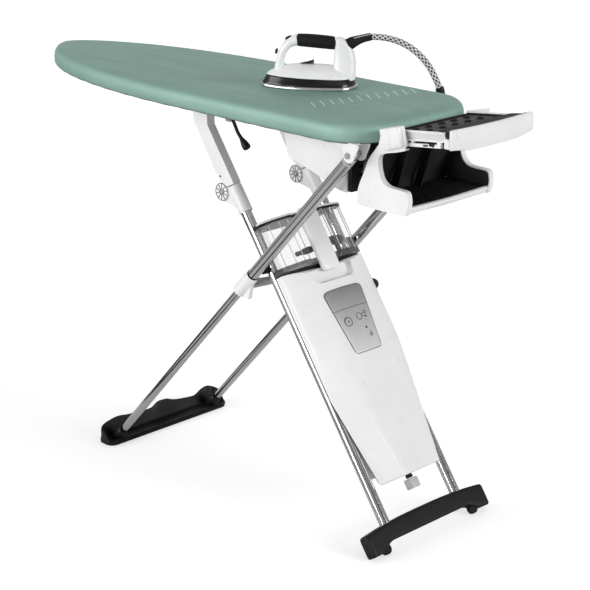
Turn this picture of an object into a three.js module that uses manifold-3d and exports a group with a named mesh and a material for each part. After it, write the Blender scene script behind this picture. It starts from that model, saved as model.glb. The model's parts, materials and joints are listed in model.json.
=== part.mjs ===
// An ironing system: a covered board on crossed folding legs, with a steam generator and water tank
// between the front legs, a blower, a storage compartment and an iron rest under the heel end,
// and a steam iron on its hose. Millimetres. +X runs from the nose to the heel, +Z is up.
import * as THREE from "three";
import { mergeVertices } from "three/addons/utils/BufferGeometryUtils.js";
import Module from "manifold-3d";

const wasm = await Module();
wasm.setup();

// ---- Driving dimensions -------------------------------------------------------------------------
const GAP = 0.3; // between pieces that touch
const SIDES = { near: -1, far: 1 }; // near is -Y, far is +Y
const rad = THREE.MathUtils.degToRad;

const BOARD = { noseX: -668, taperX: 13, heelX: 595, halfWidth: 205, topZ: 980, hemZ: 933, corner: 115 };
const DECK = { inset: 9, topZ: 966, sheet: 1.5, rimZ: 941, panZ: 938, panSheet: 1.2 };
const CENTRE_X = 62; // middle of the length, which the origin stands under

// Rear legs (frame B) run from the foot under the nose up to the pivot under the heel.
const B = { footX: -298.2, lean: 42.84, y: 161, pivotS: 1233.5 };
// Front legs (frame A) run from the foot under the heel up to the sliding arms.
const A = { footX: 650.1, lean: 34.97, y: 121, sleeveS: [849, 916] };
// Where the two lines cross, measured up each of them.
B.crossS = (A.footX - B.footX) / (Math.sin(rad(B.lean)) + Math.cos(rad(B.lean)) * Math.tan(rad(A.lean)));
A.crossS = (B.crossS * Math.cos(rad(B.lean))) / Math.cos(rad(A.lean));
const TUBE_R = { a: 12.5, bLower: 10, bUpper: 13.5 };
const WALL = 1.6; // of the leg tubes
const PIN_R = 5; // of the main pivot rod and the pins where the legs cross
const PIVOT = {
  x: B.footX + B.pivotS * Math.sin(rad(B.lean)),
  z: B.pivotS * Math.cos(rad(B.lean)),
};

const GEN = { bottomS: 150, topS: 674, halfTop: 134, halfBottom: 99, wallN: 14, sideN: 28, crownN: 61 };
const TANK = { bottomS: 677, topS: 797, half: 134, frontN: 56, rearHalf: 104, rearN: -25 };
const PANEL = { topS: 602, bottomS: 446, halfTop: 62.5, halfBottom: 42 };
const BUTTON = { s: 522, y: -26, r: 9.6 };
const DRAIN = { n: 0, y: 8, s: 128 };
const KNOB = { s: 594, n: 27, r: 10.5 };

const REST = { x: 637, z: 967, tilt: 6.3, half: 118, length: 158, frontX: 782, bulge: 9 };
const IRON = { tip: [146.5, -56], turn: 40, length: 222, half: 58 };
const HOSE_R = 7.5;
const GUIDE = { x: 448, y: 226 };
const PORT = { x: 320, y: 193 };
const LEVER = { y: -150, top: [150, 921], knee: [170, 888], end: [196, 862] };

const COLOURS = {
  cover: [0x8fb8aa, 0.85, 0], steel: [0x9a9c9e, 0.4, 0.9], chrome: [0xd8dadc, 0.12, 1],
  white: [0xf1f1f0, 0.35, 0], grey: [0xb9babb, 0.45, 0], panel: [0xa9acae, 0.35, 0.4],
  black: [0x1b1b1c, 0.5, 0], rubber: [0x222223, 0.8, 0], clear: [0xdfe6e8, 0.05, 0],
};

// ---- Solids -------------------------------------------------------------------------------------
// A geometry's closed solid, and back again.
function solid(geometry) {
  const plain = geometry.index ? geometry.toNonIndexed() : geometry.clone();
  const bare = new THREE.BufferGeometry().setAttribute("position", plain.getAttribute("position"));
  const merged = mergeVertices(bare, 1e-3);
  return new wasm.Manifold(new wasm.Mesh({
    numProp: 3,
    vertProperties: merged.attributes.position.array,
    triVerts: new Uint32Array(merged.index.array),
  }));
}

function geometryOf(body) {
  const mesh = body.getMesh();
  const geometry = new THREE.BufferGeometry();
  geometry.setAttribute("position", new THREE.BufferAttribute(mesh.vertProperties, 3));
  geometry.setIndex(new THREE.BufferAttribute(mesh.triVerts, 1));
  const flat = geometry.toNonIndexed();
  flat.computeVertexNormals();
  return flat;
}

const joined = (...parts) => geometryOf(parts.map(solid).reduce((whole, next) => whole.add(next)));
const cut = (whole, tool) => whole.subtract(tool);
const carved = (base, ...tools) => geometryOf(tools.map(solid).reduce(cut, solid(base)));
const shared = (one, other) => geometryOf(solid(one).intersect(solid(other)));

function box(x0, x1, y0, y1, z0, z1) {
  const geometry = new THREE.BoxGeometry(x1 - x0, y1 - y0, z1 - z0);
  return geometry.translate((x0 + x1) / 2, (y0 + y1) / 2, (z0 + z1) / 2);
}

// A cylinder, or a cone with a second radius, between two points.
function rod(radius, from, to, sides = 20, endRadius = radius) {
  const a = new THREE.Vector3(...from);
  const b = new THREE.Vector3(...to);
  const along = b.clone().sub(a);
  const geometry = new THREE.CylinderGeometry(endRadius, radius, along.length(), sides);
  const up = new THREE.Vector3(0, 1, 0);
  geometry.applyQuaternion(new THREE.Quaternion().setFromUnitVectors(up, along.clone().normalize()));
  return geometry.translate(...a.add(b).multiplyScalar(0.5).toArray());
}

// An outline with its corners rounded by the same amount.
function outline(points, round = 0) {
  const shape = new THREE.Shape();
  const p = points.map(([x, y]) => new THREE.Vector2(x, y));
  p.forEach((corner, i) => {
    const before = p[(i + p.length - 1) % p.length];
    const after = p[(i + 1) % p.length];
    const back = before.clone().sub(corner);
    const on = after.clone().sub(corner);
    const reach = Math.min(round, back.length() * 0.45, on.length() * 0.45);
    const enter = corner.clone().add(back.setLength(reach || 1e-6));
    const leave = corner.clone().add(on.setLength(reach || 1e-6));
    if (!round) {
      if (i === 0) shape.moveTo(corner.x, corner.y);
      else shape.lineTo(corner.x, corner.y);
      return;
    }
    if (i === 0) shape.moveTo(enter.x, enter.y);
    else shape.lineTo(enter.x, enter.y);
    shape.quadraticCurveTo(corner.x, corner.y, leave.x, leave.y);
  });
  shape.closePath();
  return shape;
}

// A shape pushed along one axis. Its points are (x, y) along z, (x, z) along y and (y, z) along x.
function slab(shape, axis, from, to, bevel = 0, curveSegments = 3) {
  const geometry = new THREE.ExtrudeGeometry(shape, {
    depth: to - from - 2 * bevel,
    bevelEnabled: bevel > 0,
    bevelThickness: bevel,
    bevelSize: bevel,
    bevelOffset: -bevel,
    bevelSegments: 2,
    curveSegments,
  });
  geometry.translate(0, 0, bevel);
  if (axis === "z") return geometry.translate(0, 0, from);
  if (axis === "y") return geometry.rotateX(Math.PI / 2).translate(0, to, 0);
  return geometry.rotateX(Math.PI / 2).rotateZ(Math.PI / 2).translate(from, 0, 0);
}

// A skin over rings of points, closed at both ends. The rings turn left about their direction.
function loft(rings) {
  const count = rings[0].length;
  const points = rings.flat();
  const faces = [];
  for (let r = 0; r + 1 < rings.length; r++) {
    for (let i = 0; i < count; i++) {
      const j = (i + 1) % count;
      const [a, b, c, d] = [r * count + i, r * count + j, (r + 1) * count + j, (r + 1) * count + i];
      faces.push(a, b, c, a, c, d);
    }
  }
  const centre = (ring) => ring.reduce((sum, p) => sum.map((v, k) => v + p[k] / count), [0, 0, 0]);
  const last = (rings.length - 1) * count;
  points.push(centre(rings[0]), centre(rings[rings.length - 1]));
  for (let i = 0; i < count; i++) {
    const j = (i + 1) % count;
    faces.push(rings.length * count, j, i);
    faces.push(rings.length * count + 1, last + i, last + j);
  }
  const geometry = new THREE.BufferGeometry();
  geometry.setAttribute("position", new THREE.Float32BufferAttribute(points.flat(), 3));
  geometry.setIndex(faces);
  const flat = geometry.toNonIndexed();
  flat.computeVertexNormals();
  return flat;
}

const range = (count, make) => Array.from({ length: count }, (_, i) => make(i));
// An oval ring in the plane across x.
function ovalAcrossX(x, halfY, halfZ, centreZ, count = 20) {
  return range(count, (i) => {
    const a = (2 * Math.PI * i) / count;
    return [x, halfY * Math.cos(a), centreZ + halfZ * Math.sin(a)];
  });
}

// ---- Groups and pieces --------------------------------------------------------------------------
const system = new THREE.Group();
const stand = new THREE.Group();
stand.position.x = -CENTRE_X;
system.add(stand);

function leaningGroup(x, z, turn) {
  const group = new THREE.Group();
  group.position.set(x, 0, z);
  group.rotation.y = rad(turn);
  stand.add(group);
  return group;
}
const frameA = leaningGroup(A.footX, 0, -A.lean); // local x is the front normal, z runs up the tubes
const frameB = leaningGroup(B.footX, 0, B.lean); // local x is the lower normal, z runs up the tubes
const rest = leaningGroup(REST.x, REST.z, -REST.tilt);
const iron = new THREE.Group();
iron.position.set(IRON.tip[0], IRON.tip[1], BOARD.topZ);
iron.rotation.z = rad(IRON.turn);
stand.add(iron);

function piece(group, name, geometry, look) {
  const [color, roughness, metalness] = COLOURS[look];
  const material = new THREE.MeshStandardMaterial({ color, roughness, metalness });
  if (look === "clear") Object.assign(material, { transparent: true, opacity: 0.35 });
  const mesh = new THREE.Mesh(geometry, material);
  mesh.name = name;
  group.add(mesh);
}

// ---- Board --------------------------------------------------------------------------------------
const NOSE_POWER = { along: 2.12, across: 0.6 };

// The board's outline in plan: an ogive nose, straight sides and a rounded heel.
function boardOutline(inset, noseSteps = 14, cornerSteps = 5) {
  const half = BOARD.halfWidth - inset;
  const noseLength = BOARD.taperX - BOARD.noseX - inset;
  const corner = BOARD.corner - inset;
  const side = [];
  for (let i = 1; i <= noseSteps; i++) {
    const back = Math.cos((Math.PI / 2) * (i / noseSteps));
    const y = half * (1 - back ** NOSE_POWER.along) ** NOSE_POWER.across;
    side.push([BOARD.taperX - noseLength * back, y]);
  }
  for (let i = 0; i < cornerSteps; i++) {
    const a = (Math.PI / 2) * (i / (cornerSteps - 1));
    side.push([BOARD.heelX - inset - corner * (1 - Math.sin(a)), half - corner * (1 - Math.cos(a))]);
  }
  const mirrored = side.map(([x, y]) => [x, -y]);
  return [[BOARD.taperX - noseLength, 0], ...mirrored, ...side.reverse()];
}

function makeBoard() {
  const roll = 20;
  const padding = slab(outline(boardOutline(0)), "z", BOARD.hemZ - 2 * roll, BOARD.topZ, roll);
  const pocket = slab(outline(boardOutline(DECK.inset - GAP)), "z", BOARD.hemZ - 1, DECK.topZ + GAP);
  const below = box(-900, 900, -400, 400, 0, BOARD.hemZ);
  piece(stand, "cover_and_pad", carved(padding, pocket, below), "cover");
  const deck = slab(outline(boardOutline(DECK.inset)), "z", DECK.rimZ, DECK.topZ);
  const underDeck = slab(outline(boardOutline(DECK.inset + DECK.sheet)), "z", 0, DECK.topZ - DECK.sheet);
  piece(stand, "deck_plate", carved(deck, underDeck), "steel");
  const pan = slab(outline(boardOutline(DECK.inset)), "z", DECK.panZ, DECK.panZ + DECK.panSheet);
  const airway = box(350, 470, -70, 70, 900, 960);
  piece(stand, "underside_pan", carved(pan, airway), "steel");
}

// A channel, open below, that the top of each arm slides along.
function makeRails() {
  const [x0, x1] = [-300, 108];
  const [z0, z1] = [905, DECK.panZ - GAP];
  for (const [side, sign] of Object.entries(SIDES)) {
    const y = sign * A.y;
    const outside = box(x0, x1, y - 17, y + 17, z0, z1);
    const channel = carved(outside, box(x0 + 4, x1 - 4, y - 15, y + 15, z0 - 1, z1 - 4));
    piece(stand, `arm_rail_${side}`, channel, "steel");
  }
}

// The bridge under the heel carries the ears that the main pivot rod runs through.
function makeRearBridge() {
  const ear = outline([[522, 931], [572, 931], [554, 892], [541, 887], [529, 893]], 8);
  const bar = box(503, 527, -176, 176, 917, 937.5);
  const parts = [bar];
  for (const sign of [-1, 1]) {
    parts.push(slab(ear, "y", sign > 0 ? 141 : -145, sign > 0 ? 145 : -141));
    parts.push(slab(ear, "y", sign > 0 ? 177 : -181, sign > 0 ? 181 : -177));
    parts.push(box(500, 560, sign > 0 ? 141 : -181, sign > 0 ? 181 : -141, 927, 932.5));
  }
  const alongPivot = (y) => [PIVOT.x, y, PIVOT.z];
  const bore = rod(PIN_R + GAP, alongPivot(-200), alongPivot(200), 16);
  piece(stand, "rear_bridge", carved(joined(...parts), bore), "white");
  const shaft = rod(PIN_R, alongPivot(-183), alongPivot(183), 24);
  const heads = [-1, 1].map((s) => rod(6.5, alongPivot(s * 181.4), alongPivot(s * 185), 24));
  piece(stand, "main_pivot_rod", joined(shaft, ...heads), "steel");
}

function makeBlower() {
  const half = 128;
  const below = [[304, 852], [345, 842], [400, 826], [462, 806], [486, 803]];
  const profile = [[292, 937.5], ...below, [486, 937.5]];
  const inside = [[296, 950], [308, 856], [347, 846], [402, 830], [463, 810], [482, 807], [482, 950]];
  const shell = slab(outline(profile), "y", -half, half, 5);
  const hollow = slab(outline(inside), "y", -half + 4, half - 4);
  const window = box(470, 500, -104, 104, 822, 902);
  piece(stand, "blower_housing", carved(shell, hollow, window), "white");

  const slots = range(5, (i) => box(480, 510, -100, 100, 822 + i * 17, 831 + i * 17));
  piece(stand, "blower_grille", carved(box(486 + GAP, 498, -122, 122, 806, 914), ...slots), "black");

  const axleX = 420;
  piece(stand, "blower_motor", rod(30, [axleX, 0, 888], [axleX, 0, 937], 28), "steel");
  const wheel = rod(48, [axleX, 0, 862], [axleX, 0, 865], 32);
  const hub = rod(12, [axleX, 0, 862], [axleX, 0, 887.5], 20);
  const blades = range(10, (i) => {
    const blade = box(14, 47, -1, 1, 864, 882).rotateZ((i * Math.PI) / 5);
    return blade.translate(axleX, 0, 0);
  });
  piece(stand, "blower_fan", joined(wheel, hub, ...blades), "black");
}

// ---- Storage compartment ------------------------------------------------------------------------
function makeCompartment() {
  const half = 140;
  const wall = 4;
  const side = [
    [528, 793], [534, 828], [547, 858], [564, 896], [585, 928], [597, 940], [597, 966], [661, 979],
    [673, 937], [609, 917], [594, 911], [587.5, 900], [588.4, 882], [592, 865], [601, 849], [615, 841],
    [667, 840.4], [676, 838], [680.3, 821], [678, 806], [674, 791], [658, 788.5], [560, 787],
  ];
  const inner = [
    [533, 800], [538, 828], [551, 857], [568, 895], [592, 926], [592, 1000], [720, 1000], [720, 800],
  ];
  const block = slab(outline(side), "y", -half, half);
  const room = slab(outline(inner), "y", -half + wall, half - wall);
  const columns = [-1, 1].map((s) => {
    const column = outline([[601, 967], [661, 979], [673.5, 937], [611, 921], [600, 918]]);
    return slab(column, "y", s > 0 ? 129 : -153, s > 0 ? 153 : -129);
  });
  const restSpace = box(560, 800, -128.5, 128.5, 903, 1000);
  const frontEdge = box(672, 700, -half + wall, half - wall, 700, 900);
  const walls = joined(carved(block, room), ...columns);
  piece(stand, "compartment_shell", carved(walls, restSpace, frontEdge), "white");

  const skin = 2.4;
  const outer = [
    [533.4, 800.3], [538.4, 828], [551.4, 857], [568.4, 895], [588.6, 920], [586, 903], [583, 891],
    [589, 864], [600, 846], [617, 839], [667, 838], [670, 834], [670, 800.3],
  ];
  const space = [
    [536, 803], [541, 828], [554, 856], [571, 894], [592, 922], [600, 1000], [720, 1000], [720, 803],
  ];
  const lining = slab(outline(outer), "y", -half + wall + GAP, half - wall - GAP);
  const hollow = slab(outline(space), "y", -half + wall + GAP + skin, half - wall - GAP - skin);
  const ribs = range(9, (i) => box(560, 668, -110 + i * 27, -106 + i * 27, 802, 805));
  piece(stand, "compartment_liner", joined(carved(lining, hollow), ...ribs), "black");

  const strap = outline([
    [506, 916], [560, 916], [556, 900], [549, 872], [543, 858], [537, 858], [543, 886], [540, 890],
    [506, 908],
  ]);
  const straps = [-1, 1].map((s) => slab(strap, "y", s > 0 ? 100 : -132, s > 0 ? 132 : -100));
  const clear = rod(9, [PIVOT.x, -200, PIVOT.z], [PIVOT.x, 200, PIVOT.z], 20);
  const link = box(506, 516, -132, 132, 908, 916);
  piece(stand, "compartment_bracket", carved(joined(...straps, link), clear), "steel");
}

// ---- Iron rest ----------------------------------------------------------------------------------
function makeIronRest() {
  const { half, length } = REST;
  const back = -20;
  const tray = { front: length - 22, matFront: 98, rim: 3 };
  piece(rest, "rest_pan", carved(
    box(back, tray.front, -half, half, -14, -2),
    box(back + tray.rim, tray.matFront, -half + tray.rim, half - tray.rim, -11, 10),
  ), "black");
  const inset = tray.rim + GAP;
  const mat = box(back + inset, tray.matFront - GAP, -half + inset, half - inset, -10.7, -6);
  const pad = { rows: [11, 49], firstY: -90, pitch: 41, perRow: 5 };
  const pads = pad.rows.flatMap((x) => range(pad.perRow, (i) => {
    const y = pad.firstY + i * pad.pitch;
    return rod(7.5, [x, y, -8], [x, y, -1], 9, 5);
  }));
  piece(rest, "rest_mat", joined(mat, ...pads), "rubber");
  for (const [side, sign] of Object.entries(SIDES)) {
    const [y0, y1] = sign > 0 ? [half + GAP, half + 8] : [-half - 8, -half - GAP];
    const nose = length - 38;
    const upper = outline([[back, -21], [nose, -21], [nose + 4, -10], [nose, 0], [back, 0]], 5);
    const lower = box(back, length - 50, y0, y1, -33, -25);
    const posts = [[back, 6], [28, 6], [length - 60, 10]].map(
      ([x, wide]) => box(x, x + wide, y0, y1, -30, -15),
    );
    piece(rest, `rest_rail_${side}`, joined(slab(upper, "y", y0, y1), lower, ...posts), "white");
  }
  const edge = [];
  const wide = 134;
  for (let i = 0; i <= 10; i++) {
    const y = -wide + (2 * wide * i) / 10;
    edge.push([REST.frontX + REST.bulge * (1 - (y / wide) ** 2), y]);
  }
  const bar = outline([...edge, [REST.frontX - 7, wide], [REST.frontX - 7, -wide]]);
  const lowerEdge = outline([[-140, 945], [-70, 941], [70, 941], [140, 945], [140, 989], [-140, 989]], 4);
  const band = shared(slab(bar, "z", 930, 1000), slab(lowerEdge, "x", 700, 820));
  const tabs = [-1, 1].map((s) => box(764, 776, s > 0 ? 127 : -134, s > 0 ? 134 : -127, 950, 984));
  piece(stand, "rest_front", joined(band, ...tabs), "white");
}

// ---- Hose fittings under the board --------------------------------------------------------------
function makeHoseFittings() {
  const guide = joined(
    rod(12, [GUIDE.x, GUIDE.y, 906], [GUIDE.x, GUIDE.y, 948], 20),
    box(GUIDE.x - 10, GUIDE.x + 10, 132, GUIDE.y, 918, 930),
    box(GUIDE.x - 14, GUIDE.x + 14, 132, 150, 918, 937.5),
  );
  const bore = rod(HOSE_R + 0.5, [GUIDE.x, GUIDE.y, 900], [GUIDE.x, GUIDE.y, 1000], 20);
  piece(stand, "hose_guide", carved(guide, bore), "black");
  const port = joined(
    box(PORT.x - 16, PORT.x + 16, PORT.y - 11, PORT.y + 3, 922, 932),
    box(PORT.x - 16, PORT.x + 16, PORT.y - 11, PORT.y + 1, 930, 937.5),
    rod(10.5, [PORT.x, PORT.y, 896], [PORT.x, PORT.y, 924], 20),
  );
  piece(stand, "hose_port", port, "black");
}

// ---- Height lever -------------------------------------------------------------------------------
function makeLever() {
  const at = ([x, z]) => [x, LEVER.y, z];
  const elbow = new THREE.SphereGeometry(4.4, 8, 6).translate(...at(LEVER.knee));
  const end = new THREE.SphereGeometry(9, 12, 8).translate(...at(LEVER.end));
  const lever = joined(
    rod(4, at(LEVER.top), at(LEVER.knee), 8),
    elbow,
    rod(4, at(LEVER.knee), at([176, 882]), 8),
    rod(6, at([173, 885]), at(LEVER.end), 12, 9),
    end,
    rod(7, [LEVER.top[0], LEVER.y - 8, LEVER.top[1]], [LEVER.top[0], LEVER.y + 8, LEVER.top[1]], 16),
  );
  piece(stand, "height_lever", lever, "black");
  const [x, z] = LEVER.top;
  const fork = joined(
    box(x - 12, x + 12, LEVER.y - 14, LEVER.y + 14, 932.5, DECK.panZ - GAP),
    box(x - 8, x + 8, LEVER.y - 13, LEVER.y - 9, z - 8, 935),
    box(x - 8, x + 8, LEVER.y + 9, LEVER.y + 13, z - 8, 935),
  );
  piece(stand, "lever_bracket", fork, "steel");
}

// ---- Rear legs, frame B -------------------------------------------------------------------------
function makeFrameB() {
  for (const [side, sign] of Object.entries(SIDES)) {
    const y = sign * B.y;
    const up = (radius, from, to, sides) => rod(radius, [0, y, from], [0, y, to], sides);
    const lower = carved(up(TUBE_R.bLower, 62, 712, 20), up(TUBE_R.bLower - WALL, 50, 720, 12));
    piece(frameB, `leg_b_lower_${side}`, lower, "chrome");
    const collar = carved(up(17, 706, 772, 24), up(TUBE_R.bLower + GAP, 690, 712 + GAP, 20));
    piece(frameB, `leg_b_collar_${side}`, collar, "white");
    const across = (radius, reach) => rod(radius, [0, y - reach, B.pivotS], [0, y + reach, B.pivotS], 24);
    const lug = joined(box(-8, 8, y - 7, y + 7, 1195, B.pivotS), across(9, 7));
    const tube = joined(up(TUBE_R.bUpper, 772 + GAP, 1205, 24), lug);
    const bored = carved(tube, across(PIN_R + GAP, 20), up(TUBE_R.bUpper - WALL, 760, 1190, 12));
    const pin = rod(PIN_R, [0, sign * (B.y - 10), B.crossS], [0, sign * (A.y + 3.4), B.crossS], 16);
    piece(frameB, `leg_b_upper_${side}`, joined(bored, pin), "chrome");
  }
  const inner = B.y - 17 - GAP;
  const web = outline([
    [-inner, 712], [-60, 700], [60, 700], [inner, 712], [inner, 742], [60, 726], [-60, 726], [-inner, 742],
  ]);
  piece(frameB, "cross_plate", slab(web, "x", -5, 5, 1), "grey");
}

// The rear foot: a floor flange with a wavy wall behind it and a cup round each tube.
function makeRearFoot() {
  const half = 203;
  const [x0, x1] = [-322, -264];
  const crest = [
    [-half, 22], [-197, 30], [-186, 40], [-172, 46], [-144, 51], [-105, 47], [-70, 44], [-40, 42],
    [-22, 42], [-2, 53], [33, 52.5], [50, 46], [65, 42], [100, 37], [128, 35], [152, 45.5], [168, 50],
    [185, 48], [half, 36],
  ];
  const wall = slab(outline([[-half, 0], [half, 0], ...crest.toReversed()]), "x", x0, x0 + 12);
  const plan = outline([[x0, -half], [x1, -half], [x1, half], [x0, half]], 22);
  const flange = slab(plan, "z", 0, 12);
  const ends = [-1, 1].map((s) => {
    const [y0, y1] = s > 0 ? [half - 10, half] : [-half, -half + 10];
    return box(x0, x1 - 22, y0, y1, 0, 28);
  });
  const alongTube = (s, k) => {
    const lean = rad(B.lean);
    return [B.footX + k * Math.sin(lean), s * B.y, k * Math.cos(lean)];
  };
  const cups = [-1, 1].map((s) => {
    const cup = rod(16, alongTube(s, 0), alongTube(s, 95), 20);
    return shared(cup, box(-400, -200, -300, 300, 4, 46));
  });
  const sockets = [-1, 1].map((s) => rod(TUBE_R.bLower + GAP, alongTube(s, 61.7), alongTube(s, 150), 20));
  const body = joined(shared(joined(wall, flange, ...ends), slab(plan, "z", 0, 80)), ...cups);
  piece(stand, "foot_b", carved(body, ...sockets), "black");
}

// ---- Front legs, frame A ------------------------------------------------------------------------
function makeFrameA() {
  const [s0, s1] = A.sleeveS;
  for (const [side, sign] of Object.entries(SIDES)) {
    const y = sign * A.y;
    const tube = rod(TUBE_R.a, [0, y, 50], [0, y, s0 + 20], 24);
    const pinHole = rod(PIN_R + GAP, [0, sign * (A.y + 3), A.crossS], [0, sign * (A.y + 30), A.crossS], 16);
    const bore = rod(TUBE_R.a - WALL, [0, y, 40], [0, y, s0 + 30], 12);
    piece(frameA, `leg_a_${side}`, carved(tube, bore, pinHole), "chrome");
    const sleeve = rod(16.5, [0, y, s0], [0, y, s1], 24);
    const knuckle = rod(21.5, [-38, y - 10, 920], [-38, y + 10, 920], 32);
    const web = slab(outline([[-58, 912], [-10, 862], [-4, 906], [-20, 930]], 4), "y", y - 7, y + 7);
    const tubeRoom = rod(TUBE_R.a + GAP, [0, y, s0 - 10], [0, y, s0 + 20 + GAP], 24);
    piece(frameA, `leg_a_sleeve_${side}`, carved(joined(sleeve, knuckle, web), tubeRoom), "white");
    const toFrame = (x, z) => {
      const [dx, c, s] = [x - A.footX, Math.cos(rad(A.lean)), Math.sin(rad(A.lean))];
      return [dx * c + z * s, -dx * s + z * c];
    };
    const arm = outline([[13, 918], [13, 948], toFrame(47, 884), toFrame(46, 914), toFrame(-2, 914),
      toFrame(-2, 890), [-29, 975], [-26, 946], [-12, 922]], 4);
    const knuckleRoom = rod(22, [-38, y - 20, 920], [-38, y + 20, 920], 32);
    piece(frameA, `arm_${side}`, carved(slab(arm, "y", y - 12, y + 12), knuckleRoom), "white");
  }
}

function makeFrontFoot() {
  const half = 200;
  const top = range(13, (i) => {
    const y = half - (2 * half * i) / 12;
    return [y, 73 - 11 * Math.abs(y / half) ** 2.6];
  });
  const under = [[126, 28.5], [142, 24], [156, 17], [166, 12], [half, 10]];
  const bottom = [...under.map(([y, s]) => [-y, s]).reverse(), ...under];
  const bar = slab(outline([...bottom, ...top]), "x", -15, 15, 3);
  const tubes = [-1, 1].map((s) => rod(TUBE_R.a + GAP, [0, s * A.y, 50 - GAP], [0, s * A.y, 120], 24));
  const wheelRooms = [-1, 1].map((s) => rod(15, [-8, s * 150, 17.5], [17, s * 150, 17.5], 24));
  const floor = box(-200, 200, -300, 300, -200, 0).rotateY(rad(A.lean));
  piece(frameA, "foot_a", carved(bar, ...tubes, ...wheelRooms, floor), "black");
  for (const [side, sign] of Object.entries(SIDES)) {
    const tread = rod(13, [-6, sign * 150, 17.5], [8, sign * 150, 17.5], 28);
    piece(frameA, `wheel_${side}`, tread, "rubber");
  }
}

// ---- Steam generator ----------------------------------------------------------------------------
// Half the width of the front cover.
function coverHalf(s) {
  return Math.min(GEN.halfTop, GEN.halfBottom + 0.16 * (s - GEN.bottomS));
}

// How far the front cover stands out of the tubes' plane: a crown, cut by a flat facet down each side.
function coverFront(y, s, half = coverHalf(s)) {
  const climb = Math.min(1, (s - GEN.bottomS) / 370);
  const power = 4.5 - 2.1 * climb * climb * (3 - 2 * climb);
  const k = Math.min(1, Math.abs(y) / half);
  const crown = GEN.sideN + (GEN.crownN - GEN.sideN) * (1 - k ** power) ** 0.62;
  const facet = GEN.wallN + 1.2 * (GEN.halfBottom + 0.16 * (s - GEN.bottomS) - Math.abs(y));
  return Math.max(GEN.wallN, Math.min(crown, facet));
}

// The cover's top edge dips between its corners.
function coverDip(y, s) {
  if (s < GEN.topS - 8) return 0;
  const t = Math.min(1, Math.max(0, (Math.abs(y) - 50) / 90));
  return 14 * (1 - t * t * (3 - 2 * t));
}

function coverRing(s, inset) {
  const wide = coverHalf(s) - inset;
  const across = range(17, (i) => wide * Math.sin((Math.PI / 2) * (i / 8 - 1)));
  const ring = across.map((y) => {
    const front = Math.max(GEN.wallN + 0.2, coverFront(y, s, wide + inset));
    return [front - inset, y, s - coverDip(y, s)];
  });
  const back = GEN.wallN - (inset ? 5 : 0);
  return [...ring, [back, wide, s], [back, -wide, s]];
}

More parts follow.
